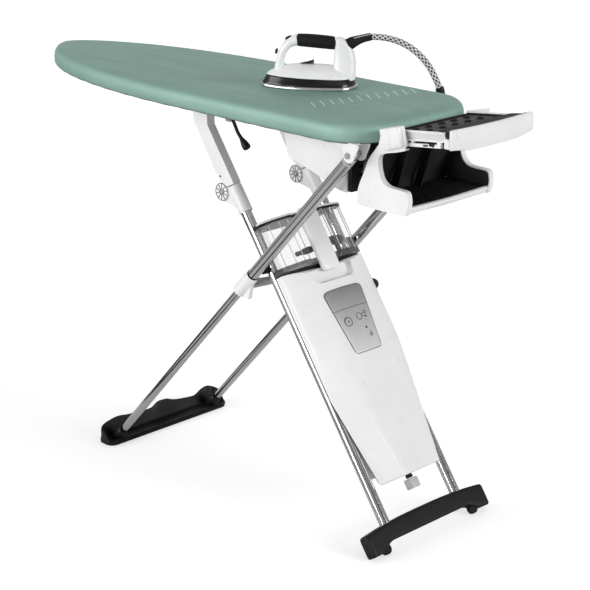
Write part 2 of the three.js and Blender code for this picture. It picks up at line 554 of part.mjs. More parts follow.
function makeGenerator() {
  const skin = 3;
  const levels = [GEN.bottomS, 200, 260, 320, 380, 450, 520, 590, 650, GEN.topS];
  const outer = loft(levels.map((s) => coverRing(s, 0)));
  const innerLevels = [GEN.bottomS + 4, ...levels.slice(1, -1), GEN.topS - 4];
  const inner = loft(innerLevels.map((s) => coverRing(s, skin)));
  const pocketPlan = (grow) => outline(
    [[-62 - grow, 628 - grow], [62 + grow, 628 - grow], [66 + grow, 700], [-66 - grow, 700]],
    18,
  );
  const pocket = slab(pocketPlan(0), "x", 43, 80);
  const pocketBack = shared(slab(pocketPlan(4), "x", 40, 53), outer);
  const buttonHole = rod(BUTTON.r + 0.8, [40, BUTTON.y, BUTTON.s], [90, BUTTON.y, BUTTON.s], 24);
  const knobHole = rod(4 + GAP, [KNOB.n, 110, KNOB.s], [KNOB.n, 150, KNOB.s], 16);
  const shell = joined(carved(outer, inner), pocketBack);
  piece(frameA, "generator_front_cover", carved(shell, pocket, buttonHole, knobHole), "white");

  // The rear housing is a tub that narrows towards its back and its bottom.
  const tubRing = (s, inset, front) => {
    const wide = Math.min(104, coverHalf(s) - 6) - inset;
    const rear = Math.max(-62, -20 - (s - 172) * 0.5) + inset;
    const mid = Math.max(-20, rear + 2);
    return [[front, wide, s], [mid, wide, s], [rear, 0.68 * wide, s], [rear, -0.68 * wide, s],
      [mid, -wide, s], [front, -wide, s]];
  };
  const tub = loft([172, 200, 256, 640, GEN.topS].map((s) => tubRing(s, 0, GEN.wallN - GAP)));
  const hollow = loft([176, 202, 258, 638, GEN.topS - 4].map((s) => tubRing(s, skin, 40)));
  const neck = rod(7, [DRAIN.n, DRAIN.y, DRAIN.s + 13], [DRAIN.n, DRAIN.y, 173.5], 18);
  piece(frameA, "generator_rear_housing", joined(carved(tub, hollow), neck), "grey");
  const up = (radius, from, to, sides) => rod(radius, [-8, 0, from], [-8, 0, to], sides);
  const vessel = joined(up(42, 266, 420, 24), up(10, 415, 440, 12));
  const steamSpace = joined(up(39, 269, 417, 24), up(7, 410, 450, 12));
  piece(frameA, "boiler", carved(vessel, steamSpace), "steel");

  const cap = slab(outline([[-13, -12], [13, -12], [13, 12], [-13, 12]], 3), "x", -12, 12, 2);
  piece(frameA, "drain_cap", cap.translate(DRAIN.n, DRAIN.y, DRAIN.s), "grey");

  // The control panel follows the crown and stands 1.2 mm proud of it.
  const panelRing = (s, half) => {
    const across = range(11, (i) => -half + (half * i) / 5);
    const over = across.map((y) => [coverFront(y, s) + 1.5, y, s]);
    const under = across.map((y) => [coverFront(y, s) + GAP, y, s]).reverse();
    return [...over, ...under];
  };
  const panelLevels = range(5, (i) => PANEL.bottomS + ((PANEL.topS - PANEL.bottomS) * i) / 4);
  const panelHalf = (s) => {
    const t = (s - PANEL.bottomS) / (PANEL.topS - PANEL.bottomS);
    return PANEL.halfBottom + (PANEL.halfTop - PANEL.halfBottom) * t;
  };
  const plate = loft(panelLevels.map((s) => panelRing(s, panelHalf(s))));
  piece(frameA, "control_panel", carved(plate, buttonHole), "panel");
  const press = joined(
    rod(BUTTON.r, [50, BUTTON.y, BUTTON.s], [62.6, BUTTON.y, BUTTON.s], 28),
    rod(BUTTON.r, [62, BUTTON.y, BUTTON.s], [63.4, BUTTON.y, BUTTON.s], 28, BUTTON.r - 1),
  );
  piece(frameA, "start_button", press, "panel");
  const dial = joined(
    rod(KNOB.r, [KNOB.n, GEN.halfTop + GAP, KNOB.s], [KNOB.n, GEN.halfTop + 9, KNOB.s], 24, KNOB.r - 1),
    rod(4, [KNOB.n, GEN.halfTop - 12, KNOB.s], [KNOB.n, GEN.halfTop + 1, KNOB.s], 16),
  );
  piece(frameA, "power_knob", dial, "grey");
}

// ---- Water tank ---------------------------------------------------------------------------------
function makeTank() {
  const plan = (inset) => {
    const side = TANK.half - inset;
    const front = range(11, (i) => {
      const y = side * Math.sin((Math.PI / 2) * (i / 5 - 1));
      const bow = (1 - Math.abs(y / side) ** 2.4) ** 0.62;
      return [GEN.sideN + (TANK.frontN - GEN.sideN) * bow - inset, y];
    });
    const rear = TANK.rearHalf - inset;
    const step = 14.5 + inset;
    return outline([...front, [step, side], [step, rear], [TANK.rearN + inset, rear],
      [TANK.rearN + inset, -rear], [step, -rear], [step, -side]]);
  };
  const outer = slab(plan(0), "z", TANK.bottomS, TANK.topS);
  const inner = slab(plan(2.5), "z", TANK.bottomS + 4, TANK.topS + 10);
  const dent = box(46, 80, -40, 40, 600, 900);
  const recess = shared(outer, box(43, 46, -42, 42, 600, 900));
  piece(frameA, "tank_shell", carved(joined(carved(outer, inner), recess), dent), "clear");
  const lid = slab(plan(0), "z", TANK.topS + GAP, TANK.topS + 11, 2);
  piece(frameA, "tank_lid", carved(lid, dent), "black");
  const valve = joined(
    rod(10, [24, 62, TANK.bottomS + 48], [24, 99, TANK.bottomS + 44], 16, 11),
    rod(8, [24, 80, TANK.bottomS + 4 + GAP], [24, 80, TANK.bottomS + 46], 12),
  );
  piece(frameA, "tank_valve", valve, "black");
  const tongue = outline([[-26, 652], [26, 652], [29, 812], [-29, 812]], 13);
  piece(frameA, "tank_handle", slab(tongue, "x", 47, 66, 4), "white");
}

// ---- Iron ---------------------------------------------------------------------------------------
// The soleplate's half-width at a distance from the tip.
const soleHalf = (t) => IRON.half * Math.min(1, (1 - (1 - Math.min(1, t / 0.62)) ** 1.9)) ** 0.62;

function soleOutline(shrink, count = 26) {
  const length = IRON.length - 2 * shrink;
  const side = [];
  for (let i = 1; i < count; i++) {
    const t = (1 - Math.cos((Math.PI * i) / count)) / 2;
    const heel = Math.sqrt(Math.max(0, 1 - Math.max(0, (t - 0.72) / 0.28) ** 2.6));
    side.push([shrink + length * t, Math.max(0, (soleHalf(t) - shrink) * heel)]);
  }
  const mirrored = side.map(([x, y]) => [x, -y]);
  return [[shrink, 0], ...mirrored, [IRON.length - shrink, 0], ...side.reverse()];
}

function makeIron() {
  const ring = (shrink, z) => soleOutline(shrink, 20).map(([x, y]) => [x, y, z]);
  piece(iron, "iron_soleplate", loft([ring(3, 0.3), ring(0, 3), ring(0.5, 8)]), "chrome");
  piece(iron, "iron_band", loft([ring(2, 8 + GAP), ring(5, 18), ring(8, 26)]), "black");
  const dome = (rise) => loft([
    ring(8 - rise, 26 + GAP - rise),
    ring(11 - rise, 34 + rise),
    ring(22 - rise, 45 + rise),
    ring(38 - rise, 51 + rise),
  ]);
  piece(iron, "iron_body", dome(0), "white");
  const front = outline([
    [29, 34], [33, 60], [39, 84], [48, 103], [62, 114], [84, 119], [84, 92], [70, 86], [60, 70], [54, 34],
  ]);
  const back = outline([
    [166, 34], [169.7, 84], [169.7, 116], [190, 111], [206, 96], [214, 78], [217, 56], [217, 30],
  ]);
  const core = box(70, 180, -7, 7, 98, 110);
  const lowerBack = slab(outline([[166, 30], [168, 70], [214, 62], [216, 30]]), "y", -24, 24, 6);
  const frame = joined(slab(front, "y", -13, 13, 3), slab(back, "y", -17, 17, 3), lowerBack, core);
  const domeRoom = dome(GAP);
  const bandRoom = box(100, 300, -60, 60, 0, 27);
  const reliefRoom = strainRelief(0.4)
    .translate(-IRON.tip[0], -IRON.tip[1], -BOARD.topZ)
    .rotateZ(-rad(IRON.turn));
  // The button and the trigger are rounded keys in slightly larger rooms: half sizes, tilt and centre.
  const key = (halves, tilt, centre) => new THREE.SphereGeometry(1, 14, 8)
    .scale(...halves)
    .rotateY(rad(tilt))
    .translate(...centre);
  const [button, trigger] = [[64, 0, 112.6], [36.4, 0, 80]];
  const rooms = [key([9.4, 5.8, 8], -24, button), key([7, 5.3, 8], 14, trigger)];
  piece(iron, "iron_handle", carved(frame, domeRoom, bandRoom, reliefRoom, ...rooms), "white");
  const grip = loft([
    ovalAcrossX(84.3, 13, 13.5, 106.4),
    ovalAcrossX(105, 15, 15, 105.4),
    ovalAcrossX(150, 15.5, 15.5, 102),
    ovalAcrossX(169.4, 15, 15, 100.2),
  ]);
  piece(iron, "iron_grip", carved(grip, box(60, 200, -7.3, 7.3, 97.7, 110.3)), "black");
  piece(iron, "steam_button", key([8.5, 5, 5], -24, button), "black");
  piece(iron, "steam_trigger", key([3.5, 4.5, 7], 14, trigger), "black");
}

// ---- Hose ---------------------------------------------------------------------------------------
// The route starts at the strain relief, arches over the far edge, drops through the guide,
// hangs in a loop behind the compartment and comes up into the port. It is a list chosen by hand.
const HOSE_ROUTE = [
  [323.6, 118.8, 1092], [336, 129.5, 1092.2], [349, 140.6, 1090.6], [362, 151.8, 1087],
  [375, 163.2, 1081.2], [388, 174.7, 1072.6], [401, 186.3, 1060.4], [413, 197.2, 1045.4], [424, 207.2, 1027.4],
  [434, 216, 1004], [441, 221.8, 985], [445.2, 224.6, 972], [447.4, 225.8, 958], [448, 226, 945],
  [448, 226, 925], [448, 226, 900], [448, 225, 860], [448, 223, 820], [448, 220, 785],
  [444.5, 216, 751], [432, 212, 730], [411, 208, 714], [384, 204.5, 708], [357, 201, 714],
  [336, 198, 730], [323.5, 195.5, 751], [320, 194, 785], [320, 193.2, 820], [320, 193, 850],
  [320, 193, 875], [320, 193, 895.7],
].map((p) => new THREE.Vector3(...p));

function makeHose() {
  const circle = new THREE.Shape();
  const count = 8;
  for (let i = 0; i < count; i++) {
    const a = (2 * Math.PI * i) / count;
    const p = [HOSE_R * Math.cos(a), HOSE_R * Math.sin(a)];
    if (i === 0) circle.moveTo(...p);
    else circle.lineTo(...p);
  }
  circle.closePath();
  const route = new THREE.CatmullRomCurve3(HOSE_ROUTE, false, "centripetal");
  const hose = new THREE.ExtrudeGeometry(circle, { steps: 44, extrudePath: route });
  piece(stand, "steam_hose", hose, "rubber");
  piece(stand, "strain_relief", strainRelief(0), "rubber");
}

// The strain relief tapers from the iron's heel to the hose, and can be made wider by some room.
function strainRelief(room) {
  const towardIron = HOSE_ROUTE[0].clone().sub(HOSE_ROUTE[1]).setZ(0).setLength(room ? 0 : 0.5);
  const start = new THREE.Vector3(286.5 - room, 86.8 - room, 1078.5);
  const end = HOSE_ROUTE[0].clone().add(towardIron);
  const path = new THREE.QuadraticBezierCurve3(start, new THREE.Vector3(303, 101, 1092), end);
  const rings = [[0, 12.5], [0.25, 11.4], [0.5, 10.4], [0.75, 9.7], [1, 9.2]].map(([t, radius]) => {
    const r = radius + room;
    const centre = path.getPoint(t);
    const along = path.getTangent(t);
    const side = new THREE.Vector3(0, 0, 1).cross(along).normalize();
    const up = along.clone().cross(side);
    return range(14, (i) => {
      const a = (2 * Math.PI * i) / 14;
      const p = centre.clone();
      p.addScaledVector(side, r * Math.cos(a));
      p.addScaledVector(up, r * Math.sin(a));
      return p.toArray();
    });
  });
  return loft(rings);
}

makeBoard();
makeRails();
makeRearBridge();
makeBlower();
makeCompartment();
makeIronRest();
makeHoseFittings();
makeLever();
makeFrameB();
makeRearFoot();
makeFrameA();
makeFrontFoot();
makeGenerator();
makeTank();
makeIron();
makeHose();

export default system;
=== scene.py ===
"""Looks for the ironing system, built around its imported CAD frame. Metres, +X from nose to heel, +Z up."""

import json
import math

import bmesh
import bpy
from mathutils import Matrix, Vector, geometry, noise


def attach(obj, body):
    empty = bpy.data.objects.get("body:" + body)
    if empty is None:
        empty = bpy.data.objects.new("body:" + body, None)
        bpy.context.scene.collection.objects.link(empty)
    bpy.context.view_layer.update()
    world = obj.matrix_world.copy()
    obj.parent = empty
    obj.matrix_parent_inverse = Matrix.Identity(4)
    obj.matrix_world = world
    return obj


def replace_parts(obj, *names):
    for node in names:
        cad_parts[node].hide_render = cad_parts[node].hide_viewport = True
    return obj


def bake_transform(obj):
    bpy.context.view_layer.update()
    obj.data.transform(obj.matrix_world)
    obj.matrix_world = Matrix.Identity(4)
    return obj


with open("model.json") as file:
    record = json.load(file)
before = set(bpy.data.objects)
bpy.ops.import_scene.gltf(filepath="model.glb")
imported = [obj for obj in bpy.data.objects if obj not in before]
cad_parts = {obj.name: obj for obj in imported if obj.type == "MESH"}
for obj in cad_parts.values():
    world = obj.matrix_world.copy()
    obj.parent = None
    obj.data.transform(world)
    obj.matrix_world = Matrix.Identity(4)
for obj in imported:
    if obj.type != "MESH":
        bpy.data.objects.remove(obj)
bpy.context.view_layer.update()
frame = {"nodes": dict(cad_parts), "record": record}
RECORD = frame["record"]
BODY_OF = {node: body for body, nodes in RECORD["behaviour"]["bodies"].items() for node in nodes}
SLOT_OF = {part["node"]: part["material_slot"] for part in RECORD["subparts"]}

# ---- Places ---------------------------------------------------------------------------------------
MM = 0.001
CENTRE_X = 62
A_FOOT_X, A_LEAN = 650.1, math.radians(34.97)
B_FOOT_X, B_LEAN = -298.2, math.radians(42.84)
IRON_TIP, IRON_TURN = (146.5, -56), math.radians(40)
REST_X, REST_Z, REST_TILT = 637, 967, math.radians(6.3)
BOARD_TOP = 980
SIDES = {"near": -1, "far": 1}
A_TUBE_Y, B_TUBE_Y = 121, 161
B_CROSS = 795.01  # where the legs cross, measured up the rear ones
HOSE_R = 7.5


def on_board(x, y, z):
    """A point in the board's millimetres."""
    return Vector((x - CENTRE_X, y, z)) * MM


def on_a(n, y, s):
    """A point on the front legs: n out of their front, s up the tubes."""
    c, k = math.cos(A_LEAN), math.sin(A_LEAN)
    return on_board(A_FOOT_X + n * c - s * k, y, n * k + s * c)


def on_b(q, y, s):
    """A point on the rear legs: q out of their lower face, s up the tubes."""
    c, k = math.cos(B_LEAN), math.sin(B_LEAN)
    return on_board(B_FOOT_X + q * c + s * k, y, s * c - q * k)


def on_iron(s, w, h):
    """A point on the iron: s back from its tip, w across, h above the board."""
    c, k = math.cos(IRON_TURN), math.sin(IRON_TURN)
    return on_board(IRON_TIP[0] + s * c - w * k, IRON_TIP[1] + s * k + w * c, BOARD_TOP + h)


def on_rest(x, y, z):
    """A point on the tilted iron rest."""
    c, k = math.cos(REST_TILT), math.sin(REST_TILT)
    return on_board(REST_X + x * c - z * k, y, REST_Z + x * k + z * c)


def mix(a, b, t):
    return a + (b - a) * t


def smoothstep(a, b, v):
    t = min(1.0, max(0.0, (v - a) / (b - a)))
    return t * t * (3 - 2 * t)


def steps(a, b, count):
    """Evenly spaced numbers from a to b."""
    return [mix(a, b, i / (count - 1)) for i in range(count)]


def turns(count, offset=0.0):
    """Angles that share out a full turn."""
    return [2 * math.pi * (i + offset) / count for i in range(count)]


def squared(v, power):
    """A cosine or sine pushed outwards, which makes a rounded box of a circle."""
    return math.copysign(abs(v) ** power, v)


def rounded_end(across, half, soft):
    """From 1 in the middle of a bar to 0 at its end, as a quarter circle over its last soft millimetres."""
    end = max(0.0, abs(across) - (half - soft)) / soft
    return math.sqrt(max(0.0, 1 - end**2))


def heading(points, i):
    """The unit direction of a line of points, in its first two numbers, at point i."""
    before, after = points[max(0, i - 1)], points[min(len(points) - 1, i + 1)]
    return Vector((after[0] - before[0], after[1] - before[1])).normalized()


def sideways(place, sign=1):
    """A place for outlines that are drawn in side view and pushed across it."""
    return lambda u, v, w: place(u, sign * w, v)


def along_table(table, v):
    """The rows of a table of numbers, smoothly read at v, which runs along its first column."""
    for i in range(len(table) - 1):
        low, high = table[i], table[i + 1]
        if v <= high[0] or i == len(table) - 2:
            t = min(1.0, max(0.0, (v - low[0]) / (high[0] - low[0])))
            before, after = table[max(0, i - 1)], table[min(len(table) - 1, i + 2)]
            row = []
            for k in range(1, len(low)):
                span = high[0] - low[0]
                m0 = (high[k] - before[k]) / max(1e-6, high[0] - before[0]) * span
                m1 = (after[k] - low[k]) / max(1e-6, after[0] - low[0]) * span
                row.append(
                    (2 * t**3 - 3 * t**2 + 1) * low[k] + (t**3 - 2 * t**2 + t) * m0
                    + (3 * t**2 - 2 * t**3) * high[k] + (t**3 - t**2) * m1
                )
            return row


# ---- Materials ------------------------------------------------------------------------------------
class Looks:
    """One node-based material: make() adds nodes, and link() joins them to the shader."""

    def __init__(self, name, **sockets):
        self.material = bpy.data.materials.new(name)
        self.material.use_nodes = True
        self.tree = self.material.node_tree
        self.shader = self.tree.nodes["Principled BSDF"]
        for socket, value in sockets.items():
            self.shader.inputs[socket.replace("_", " ")].default_value = value
        self.coords = self.make("ShaderNodeTexCoord").outputs["Object"]

    def make(self, kind, inputs=None, **settings):
        node = self.tree.nodes.new(kind)
        for key, value in settings.items():
            setattr(node, key, value)
        for key, value in (inputs or {}).items():
            if isinstance(value, bpy.types.NodeSocket):
                self.tree.links.new(value, node.inputs[key])
            else:
                node.inputs[key].default_value = value
        return node

    def math(self, operation, a, b=0.0):
        return self.make("ShaderNodeMath", {0: a, 1: b}, operation=operation).outputs[0]

    def noise(self, scale, detail=3.0, stretch=(1, 1, 1)):
        at = self.make("ShaderNodeMapping", {"Vector": self.coords, "Scale": stretch}).outputs[0]
        return self.make("ShaderNodeTexNoise", {"Vector": at, "Scale": scale, "Detail": detail}).outputs[0]

    def ramp(self, value, low, high, start=0.3, end=0.7):
        node = self.make("ShaderNodeValToRGB", {"Fac": value})
        for element, place, colour in zip(node.color_ramp.elements, (start, end), (low, high)):
            element.position = place
            element.color = colour if len(colour) == 4 else (*colour, 1)
        return node.outputs[0]

    def blend(self, fac, low, high):
        node = self.make("ShaderNodeMix", {"Factor": fac}, data_type="RGBA")
        for index, value in ((6, low), (7, high)):
            if isinstance(value, bpy.types.NodeSocket):
                self.tree.links.new(value, node.inputs[index])
            else:
                node.inputs[index].default_value = (*value, 1)
        return node.outputs[2]

    def between(self, value, low, high):
        return self.make("ShaderNodeMapRange", {"Value": value, "To Min": low, "To Max": high}).outputs[0]

    def link(self, value, socket):
        self.tree.links.new(value, self.shader.inputs[socket])

    def bump(self, height, strength, distance, below=None):
        inputs = {"Height": height, "Strength": strength, "Distance": distance}
        if below is not None:
            inputs["Normal"] = below
        normal = self.make("ShaderNodeBump", inputs).outputs[0]
        self.link(normal, "Normal")
        return normal


def moulded(name, dark, light, rough, grain, depth, patch=9, stretch=(1, 1, 1), **sockets):
    """A moulded, painted or plated surface: patches of colour, uneven gloss and a fine grain."""
    m = Looks(name, **sockets)
    m.link(m.ramp(m.noise(patch, 4.0, stretch), dark, light), "Base Color")
    m.link(m.between(m.noise(patch * 5, 5.0, stretch), *rough), "Roughness")
    m.bump(m.noise(grain, 3.0, stretch), 0.35, depth)
    return m.material


# The printed row on the cover, in metres, but the half width is a share of the row's pitch.
ROW_START, ROW_PITCH, STROKE_WAY = (0.314, -0.118, 0.0), Vector((0.0050, 0.0242)), Vector((0.826, -0.564))
STROKE_HALF_WIDTH, STROKE_HALF_LENGTH, STROKES, STROKE_MIN_Z = 0.062, 0.027, 12, 0.965
DIAMOND_TURNS, DIAMOND_RUNS, WHITE_FROM = 5.0, 82.0, 0.66  # the hose's braid
PANEL_REFLECTION_LOW_Z, PANEL_REFLECTION_HIGH_Z = 0.38, 0.54  # where the silver panel's painted reflection fades from light to dark


def fabric():
    """Silky woven cover: a fine cross weave, faint lengthwise shading and a row of printed strokes."""
    m = Looks("silky_cover", Metallic=0.5, Specular_IOR_Level=0.3)
    dark, light = (0.250, 0.400, 0.340), (0.295, 0.455, 0.390)
    cloth = m.ramp(m.noise(14, 5.0, (0.5, 2.2, 1)), dark, light)
    thread = [
        m.make("ShaderNodeTexWave", {"Vector": m.coords, "Scale": 420.0, "Distortion": 0.6},
               wave_type="BANDS", bands_direction=way).outputs[1]
        for way in ("X", "Y")
    ]
    weave = m.math("MULTIPLY", thread[0], thread[1])
    cloth = m.blend(m.math("MULTIPLY", weave, 0.22), cloth, (0.36, 0.52, 0.45))
    # The strokes lie in a slanted row; rank counts them and reach runs along each.
    offset = m.make("ShaderNodeVectorMath", {0: m.coords, 1: ROW_START}, operation="SUBTRACT").outputs[0]
    pitch, way = ROW_PITCH, STROKE_WAY
    area = pitch.x * way.y - pitch.y * way.x
    rank, reach = (
        m.make("ShaderNodeVectorMath", {0: offset, 1: (x / area, y / area, 0)},
               operation="DOT_PRODUCT").outputs["Value"]
        for x, y in ((way.y, -way.x), (-pitch.y, pitch.x))
    )
    beside = m.math("ABSOLUTE", m.math("SUBTRACT", m.math("FRACT", m.math("ADD", rank, 0.5)), 0.5))
    height = m.make("ShaderNodeSeparateXYZ", {0: m.coords}).outputs[2]
    stroke = m.math("LESS_THAN", beside, STROKE_HALF_WIDTH)
    for value, test, limit in (
        (m.math("ABSOLUTE", reach), "LESS_THAN", STROKE_HALF_LENGTH), (rank, "GREATER_THAN", -0.5),
        (rank, "LESS_THAN", STROKES - 0.5), (height, "GREATER_THAN", STROKE_MIN_Z),
    ):
        stroke = m.math("MULTIPLY", stroke, m.math(test, value, limit))
    m.link(m.blend(m.math("MULTIPLY", stroke, 0.8), cloth, (0.72, 0.90, 0.82)), "Base Color")
    m.link(m.between(m.noise(60, 4.0, (0.4, 2, 1)), 0.52, 0.64), "Roughness")
    soft = m.bump(m.noise(26, 4.0, (0.5, 1.6, 1)), 0.25, 0.0012)
    m.bump(weave, 0.3, 0.0003, soft)
    return m.material


def braid():
    """Black and white diamonds round the hose, from its length and its turn."""
    m = Looks("braided_hose", Roughness=0.75, Sheen_Weight=0.2)
    uv = m.make("ShaderNodeUVMap", uv_map="hose").outputs[0]
    part = m.make("ShaderNodeSeparateXYZ", {0: uv})
    turn = m.math("MULTIPLY", part.outputs[1], DIAMOND_TURNS)
    run = m.math("MULTIPLY", part.outputs[0], DIAMOND_RUNS)
    strands = [m.math("GREATER_THAN", m.math("FRACT", m.math(lean, run, turn)),
                      WHITE_FROM) for lean in ("ADD", "SUBTRACT")]
    white = m.math("MAXIMUM", *strands)
    yarn = m.make("ShaderNodeTexWave", {"Vector": uv, "Scale": 900.0, "Distortion": 1.0}).outputs[1]
    black = m.ramp(m.noise(900, 2.0), (0.006, 0.006, 0.007), (0.025, 0.025, 0.027))
    pale = m.blend(yarn, (0.60, 0.60, 0.60), (0.84, 0.84, 0.83))
    m.link(m.blend(white, black, pale), "Base Color")
    m.bump(m.math("ADD", white, m.math("MULTIPLY", yarn, 0.3)), 0.6, 0.0006)
    return m.material


def silver_panel_painted_reflection():
    """Brushed silver with a painted reflection: light low on the panel, fading to dark towards its top."""
    m = Looks("silver_panel_painted_reflection", Metallic=0.25, Coat_Weight=0.2, Coat_Roughness=0.2)
    height = m.make("ShaderNodeSeparateXYZ", {0: m.coords}).outputs[2]
    place = m.make("ShaderNodeMapRange",
                   {"Value": height, "From Min": PANEL_REFLECTION_LOW_Z, "From Max": PANEL_REFLECTION_HIGH_Z}).outputs[0]
    brushed = m.noise(60, 4.0, (1, 14, 1))
    # The height ramp is a painted reflection, mixed with the brushing.
    tone = m.math("ADD", m.math("MULTIPLY", place, 0.75), m.math("MULTIPLY", brushed, 0.2))
    m.link(m.ramp(tone, (0.80, 0.805, 0.81), (0.15, 0.153, 0.156), 0.05, 0.9), "Base Color")
    m.link(m.between(brushed, 0.3, 0.42), "Roughness")
    m.bump(brushed, 0.15, 0.0002)
    return m.material


def clear(name, tint, rough, cover):
    """See-through plastic; cover is how much it hides of what lies behind."""
    m = Looks(name, IOR=1.4, Specular_IOR_Level=0.6)
    m.link(m.ramp(m.noise(12, 2.0), tint, tuple(min(1, v * 1.04) for v in tint)), "Base Color")
    m.link(m.between(m.noise(50, 3.0), *rough), "Roughness")
    m.link(m.between(m.noise(7, 2.0), *cover), "Alpha")
    m.bump(m.noise(28, 2.0), 0.1, 0.0006)
    return m.material


LOOK = {
    "cover": fabric(),
    "braid": braid(),
    "panel": silver_panel_painted_reflection(),
    "clear": clear("clear_tank", (0.85, 0.87, 0.88), (0.03, 0.07), (0.05, 0.09)),
    # A smoky tint for the tank's band, also used as painted shade along the clear walls' turns.
    "smoke": clear("smoky_tank_band_and_edge_shade", (0.10, 0.10, 0.105), (0.10, 0.2), (0.58, 0.72)),
    "white": moulded("white_plastic", (0.80, 0.80, 0.80), (0.86, 0.86, 0.855), (0.24, 0.34), 1400, 0.00012,
                     Coat_Weight=0.1, Coat_Roughness=0.12),
    "grey": moulded("grey_plastic", (0.42, 0.42, 0.43), (0.50, 0.50, 0.51), (0.36, 0.5), 1300, 0.0002),
    # Pale grey for grey plastic parts, also used as painted shade in the rest rails' recessed channels.
    "pale": moulded("pale_grey_plastic_and_shade", (0.60, 0.60, 0.605), (0.68, 0.68, 0.68), (0.3, 0.42), 1300, 0.00018),
    "black": moulded("black_plastic", (0.003, 0.003, 0.0032), (0.007, 0.007, 0.0072), (0.36, 0.52), 1100,
                     0.0003,
                      Specular_IOR_Level=0.25),
    "gloss": moulded("black_gloss", (0.004, 0.004, 0.0045), (0.009, 0.009, 0.0095), (0.14, 0.24), 700, 0.0001,
                     Specular_IOR_Level=0.35, Coat_Weight=0.15, Coat_Roughness=0.06),
    "liner": moulded("compartment_lining", (0.015, 0.015, 0.0155), (0.030, 0.030, 0.031), (0.42, 0.6), 900,
                     0.0004,
                      Specular_IOR_Level=0.3),
    "rubber": moulded("soft_rubber", (0.004, 0.004, 0.004), (0.009, 0.009, 0.009), (0.55, 0.75), 800, 0.0004,
                       Specular_IOR_Level=0.25),
    "mat": moulded("grey_mat", (0.060, 0.060, 0.062), (0.095, 0.095, 0.098), (0.5, 0.7), 900, 0.0004,
                   patch=25,
                   Specular_IOR_Level=0.3),
    "chrome": moulded("chrome", (0.56, 0.565, 0.57), (0.64, 0.645, 0.65), (0.07, 0.13), 260, 0.00004,
                      patch=6, Metallic=1.0),
    "sole": moulded("polished_soleplate", (0.60, 0.61, 0.62), (0.74, 0.75, 0.76), (0.12, 0.26), 500, 0.00006,
                    patch=20, Metallic=1.0),
    "steel": moulded("zinc_steel", (0.33, 0.335, 0.34), (0.44, 0.445, 0.45), (0.34, 0.5), 300, 0.0002,
                     patch=30, Metallic=0.85),
    "dark_steel": moulded("dark_bracket", (0.07, 0.07, 0.075), (0.12, 0.12, 0.125), (0.35, 0.5), 500, 0.0002,
                          Metallic=0.7),
    # One dark material for printed marks and for painted shade in holes, recesses, vents and under the
    # cover's hem.
    "ink": moulded("dark_print_and_shade", (0.03, 0.03, 0.032), (0.06, 0.06, 0.065), (0.5, 0.6), 900, 0.0001),
    "stitch": moulded("white_stitch", (0.62, 0.62, 0.61), (0.80, 0.80, 0.79), (0.6, 0.7), 1500, 0.0002),
}


# ---- Mesh helpers ---------------------------------------------------------------------------------
def build(name, verts, faces, look, body, slot, smooth=38, weld=None):
    """A mesh piece from points already in the row frame, riding on a body."""
    bm = bmesh.new()
    points = [bm.verts.new(v) for v in verts]
    for face in faces:
        corners = [points[i] for i in face]
        if len(set(corners)) == len(corners):
            try:
                bm.faces.new(corners)
            except ValueError:
                pass
    bmesh.ops.remove_doubles(bm, verts=bm.verts, dist=weld or 1e-6)
    bmesh.ops.dissolve_degenerate(bm, dist=1e-7, edges=bm.edges)
    bmesh.ops.recalc_face_normals(bm, faces=bm.faces)
    mesh = bpy.data.meshes.new(name)
    bm.to_mesh(mesh)
    bm.free()
    mesh.shade_smooth()
    mesh.set_sharp_from_angle(angle=math.radians(smooth))
    mesh.materials.append(LOOK[look])
    obj = bpy.data.objects.new(name, mesh)
    bpy.context.scene.collection.objects.link(obj)
    if body:
        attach(obj, body)
    return obj


def for_node(node, name, verts, faces, look, smooth=38):
    """A piece that stands for a CAD node and rides on its body."""
    obj = build(name, verts, faces, look, BODY_OF[node], SLOT_OF[node], smooth)
    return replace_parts(obj, node)


def bevelled(obj, width, segments=2, angle=32):
    rounding = obj.modifiers.new("rounding", "BEVEL")
    rounding.width = width * MM
    rounding.segments = segments
    rounding.limit_method = "ANGLE"
    rounding.angle_limit = math.radians(angle)
    rounding.use_clamp_overlap = True
    rounding.harden_normals = False
    return obj


def refined(node, look, width=0.7, segments=2, smooth=32):
    """The CAD node's own shape with its flat faces merged and its edges rounded."""
    source = frame["nodes"][node].data
    bm = bmesh.new()
    points = [bm.verts.new(v.co) for v in source.vertices]
    for polygon in source.polygons:
        bm.faces.new([points[i] for i in polygon.vertices])
    bmesh.ops.remove_doubles(bm, verts=bm.verts, dist=2e-6)
    bmesh.ops.dissolve_limit(bm, angle_limit=math.radians(0.5), verts=bm.verts, edges=bm.edges)
    index = {v: i for i, v in enumerate(bm.verts)}
    verts = [v.co.copy() for v in bm.verts]
    faces = [[index[v] for v in f.verts] for f in bm.faces]
    bm.free()
    obj = for_node(node, f"{node}_look", verts, faces, look, smooth)
    return bevelled(obj, width, segments) if width else obj


def skin(rings, caps=True):
    """Faces over rings of equal length: (points, faces)."""
    count = len(rings[0])
    verts = [p for ring in rings for p in ring]
    faces = []
    for r in range(len(rings) - 1):
        for i in range(count):
            j = (i + 1) % count
            faces.append((r * count + i, r * count + j, (r + 1) * count + j, (r + 1) * count + i))
    if caps:
        for r in (0, len(rings) - 1):
            centre = sum(rings[r], Vector()) / count
            verts.append(centre)
            for i in range(count):
                faces.append((len(verts) - 1, r * count + i, r * count + (i + 1) % count))
    return verts, faces


def closed_band(rings):
    """Rings with no caps, whose last one is joined back to the first."""
    verts, faces = skin(rings, caps=False)
    count, last = len(rings[0]), (len(rings) - 1) * len(rings[0])
    return verts, faces + [(last + i, last + (i + 1) % count, (i + 1) % count, i) for i in range(count)]


def together(*parts):
    """Several (points, faces) as one."""
    verts, faces = [], []
    for points, some in parts:
        faces += [tuple(i + len(verts) for i in face) for face in some]
        verts += points
    return verts, faces


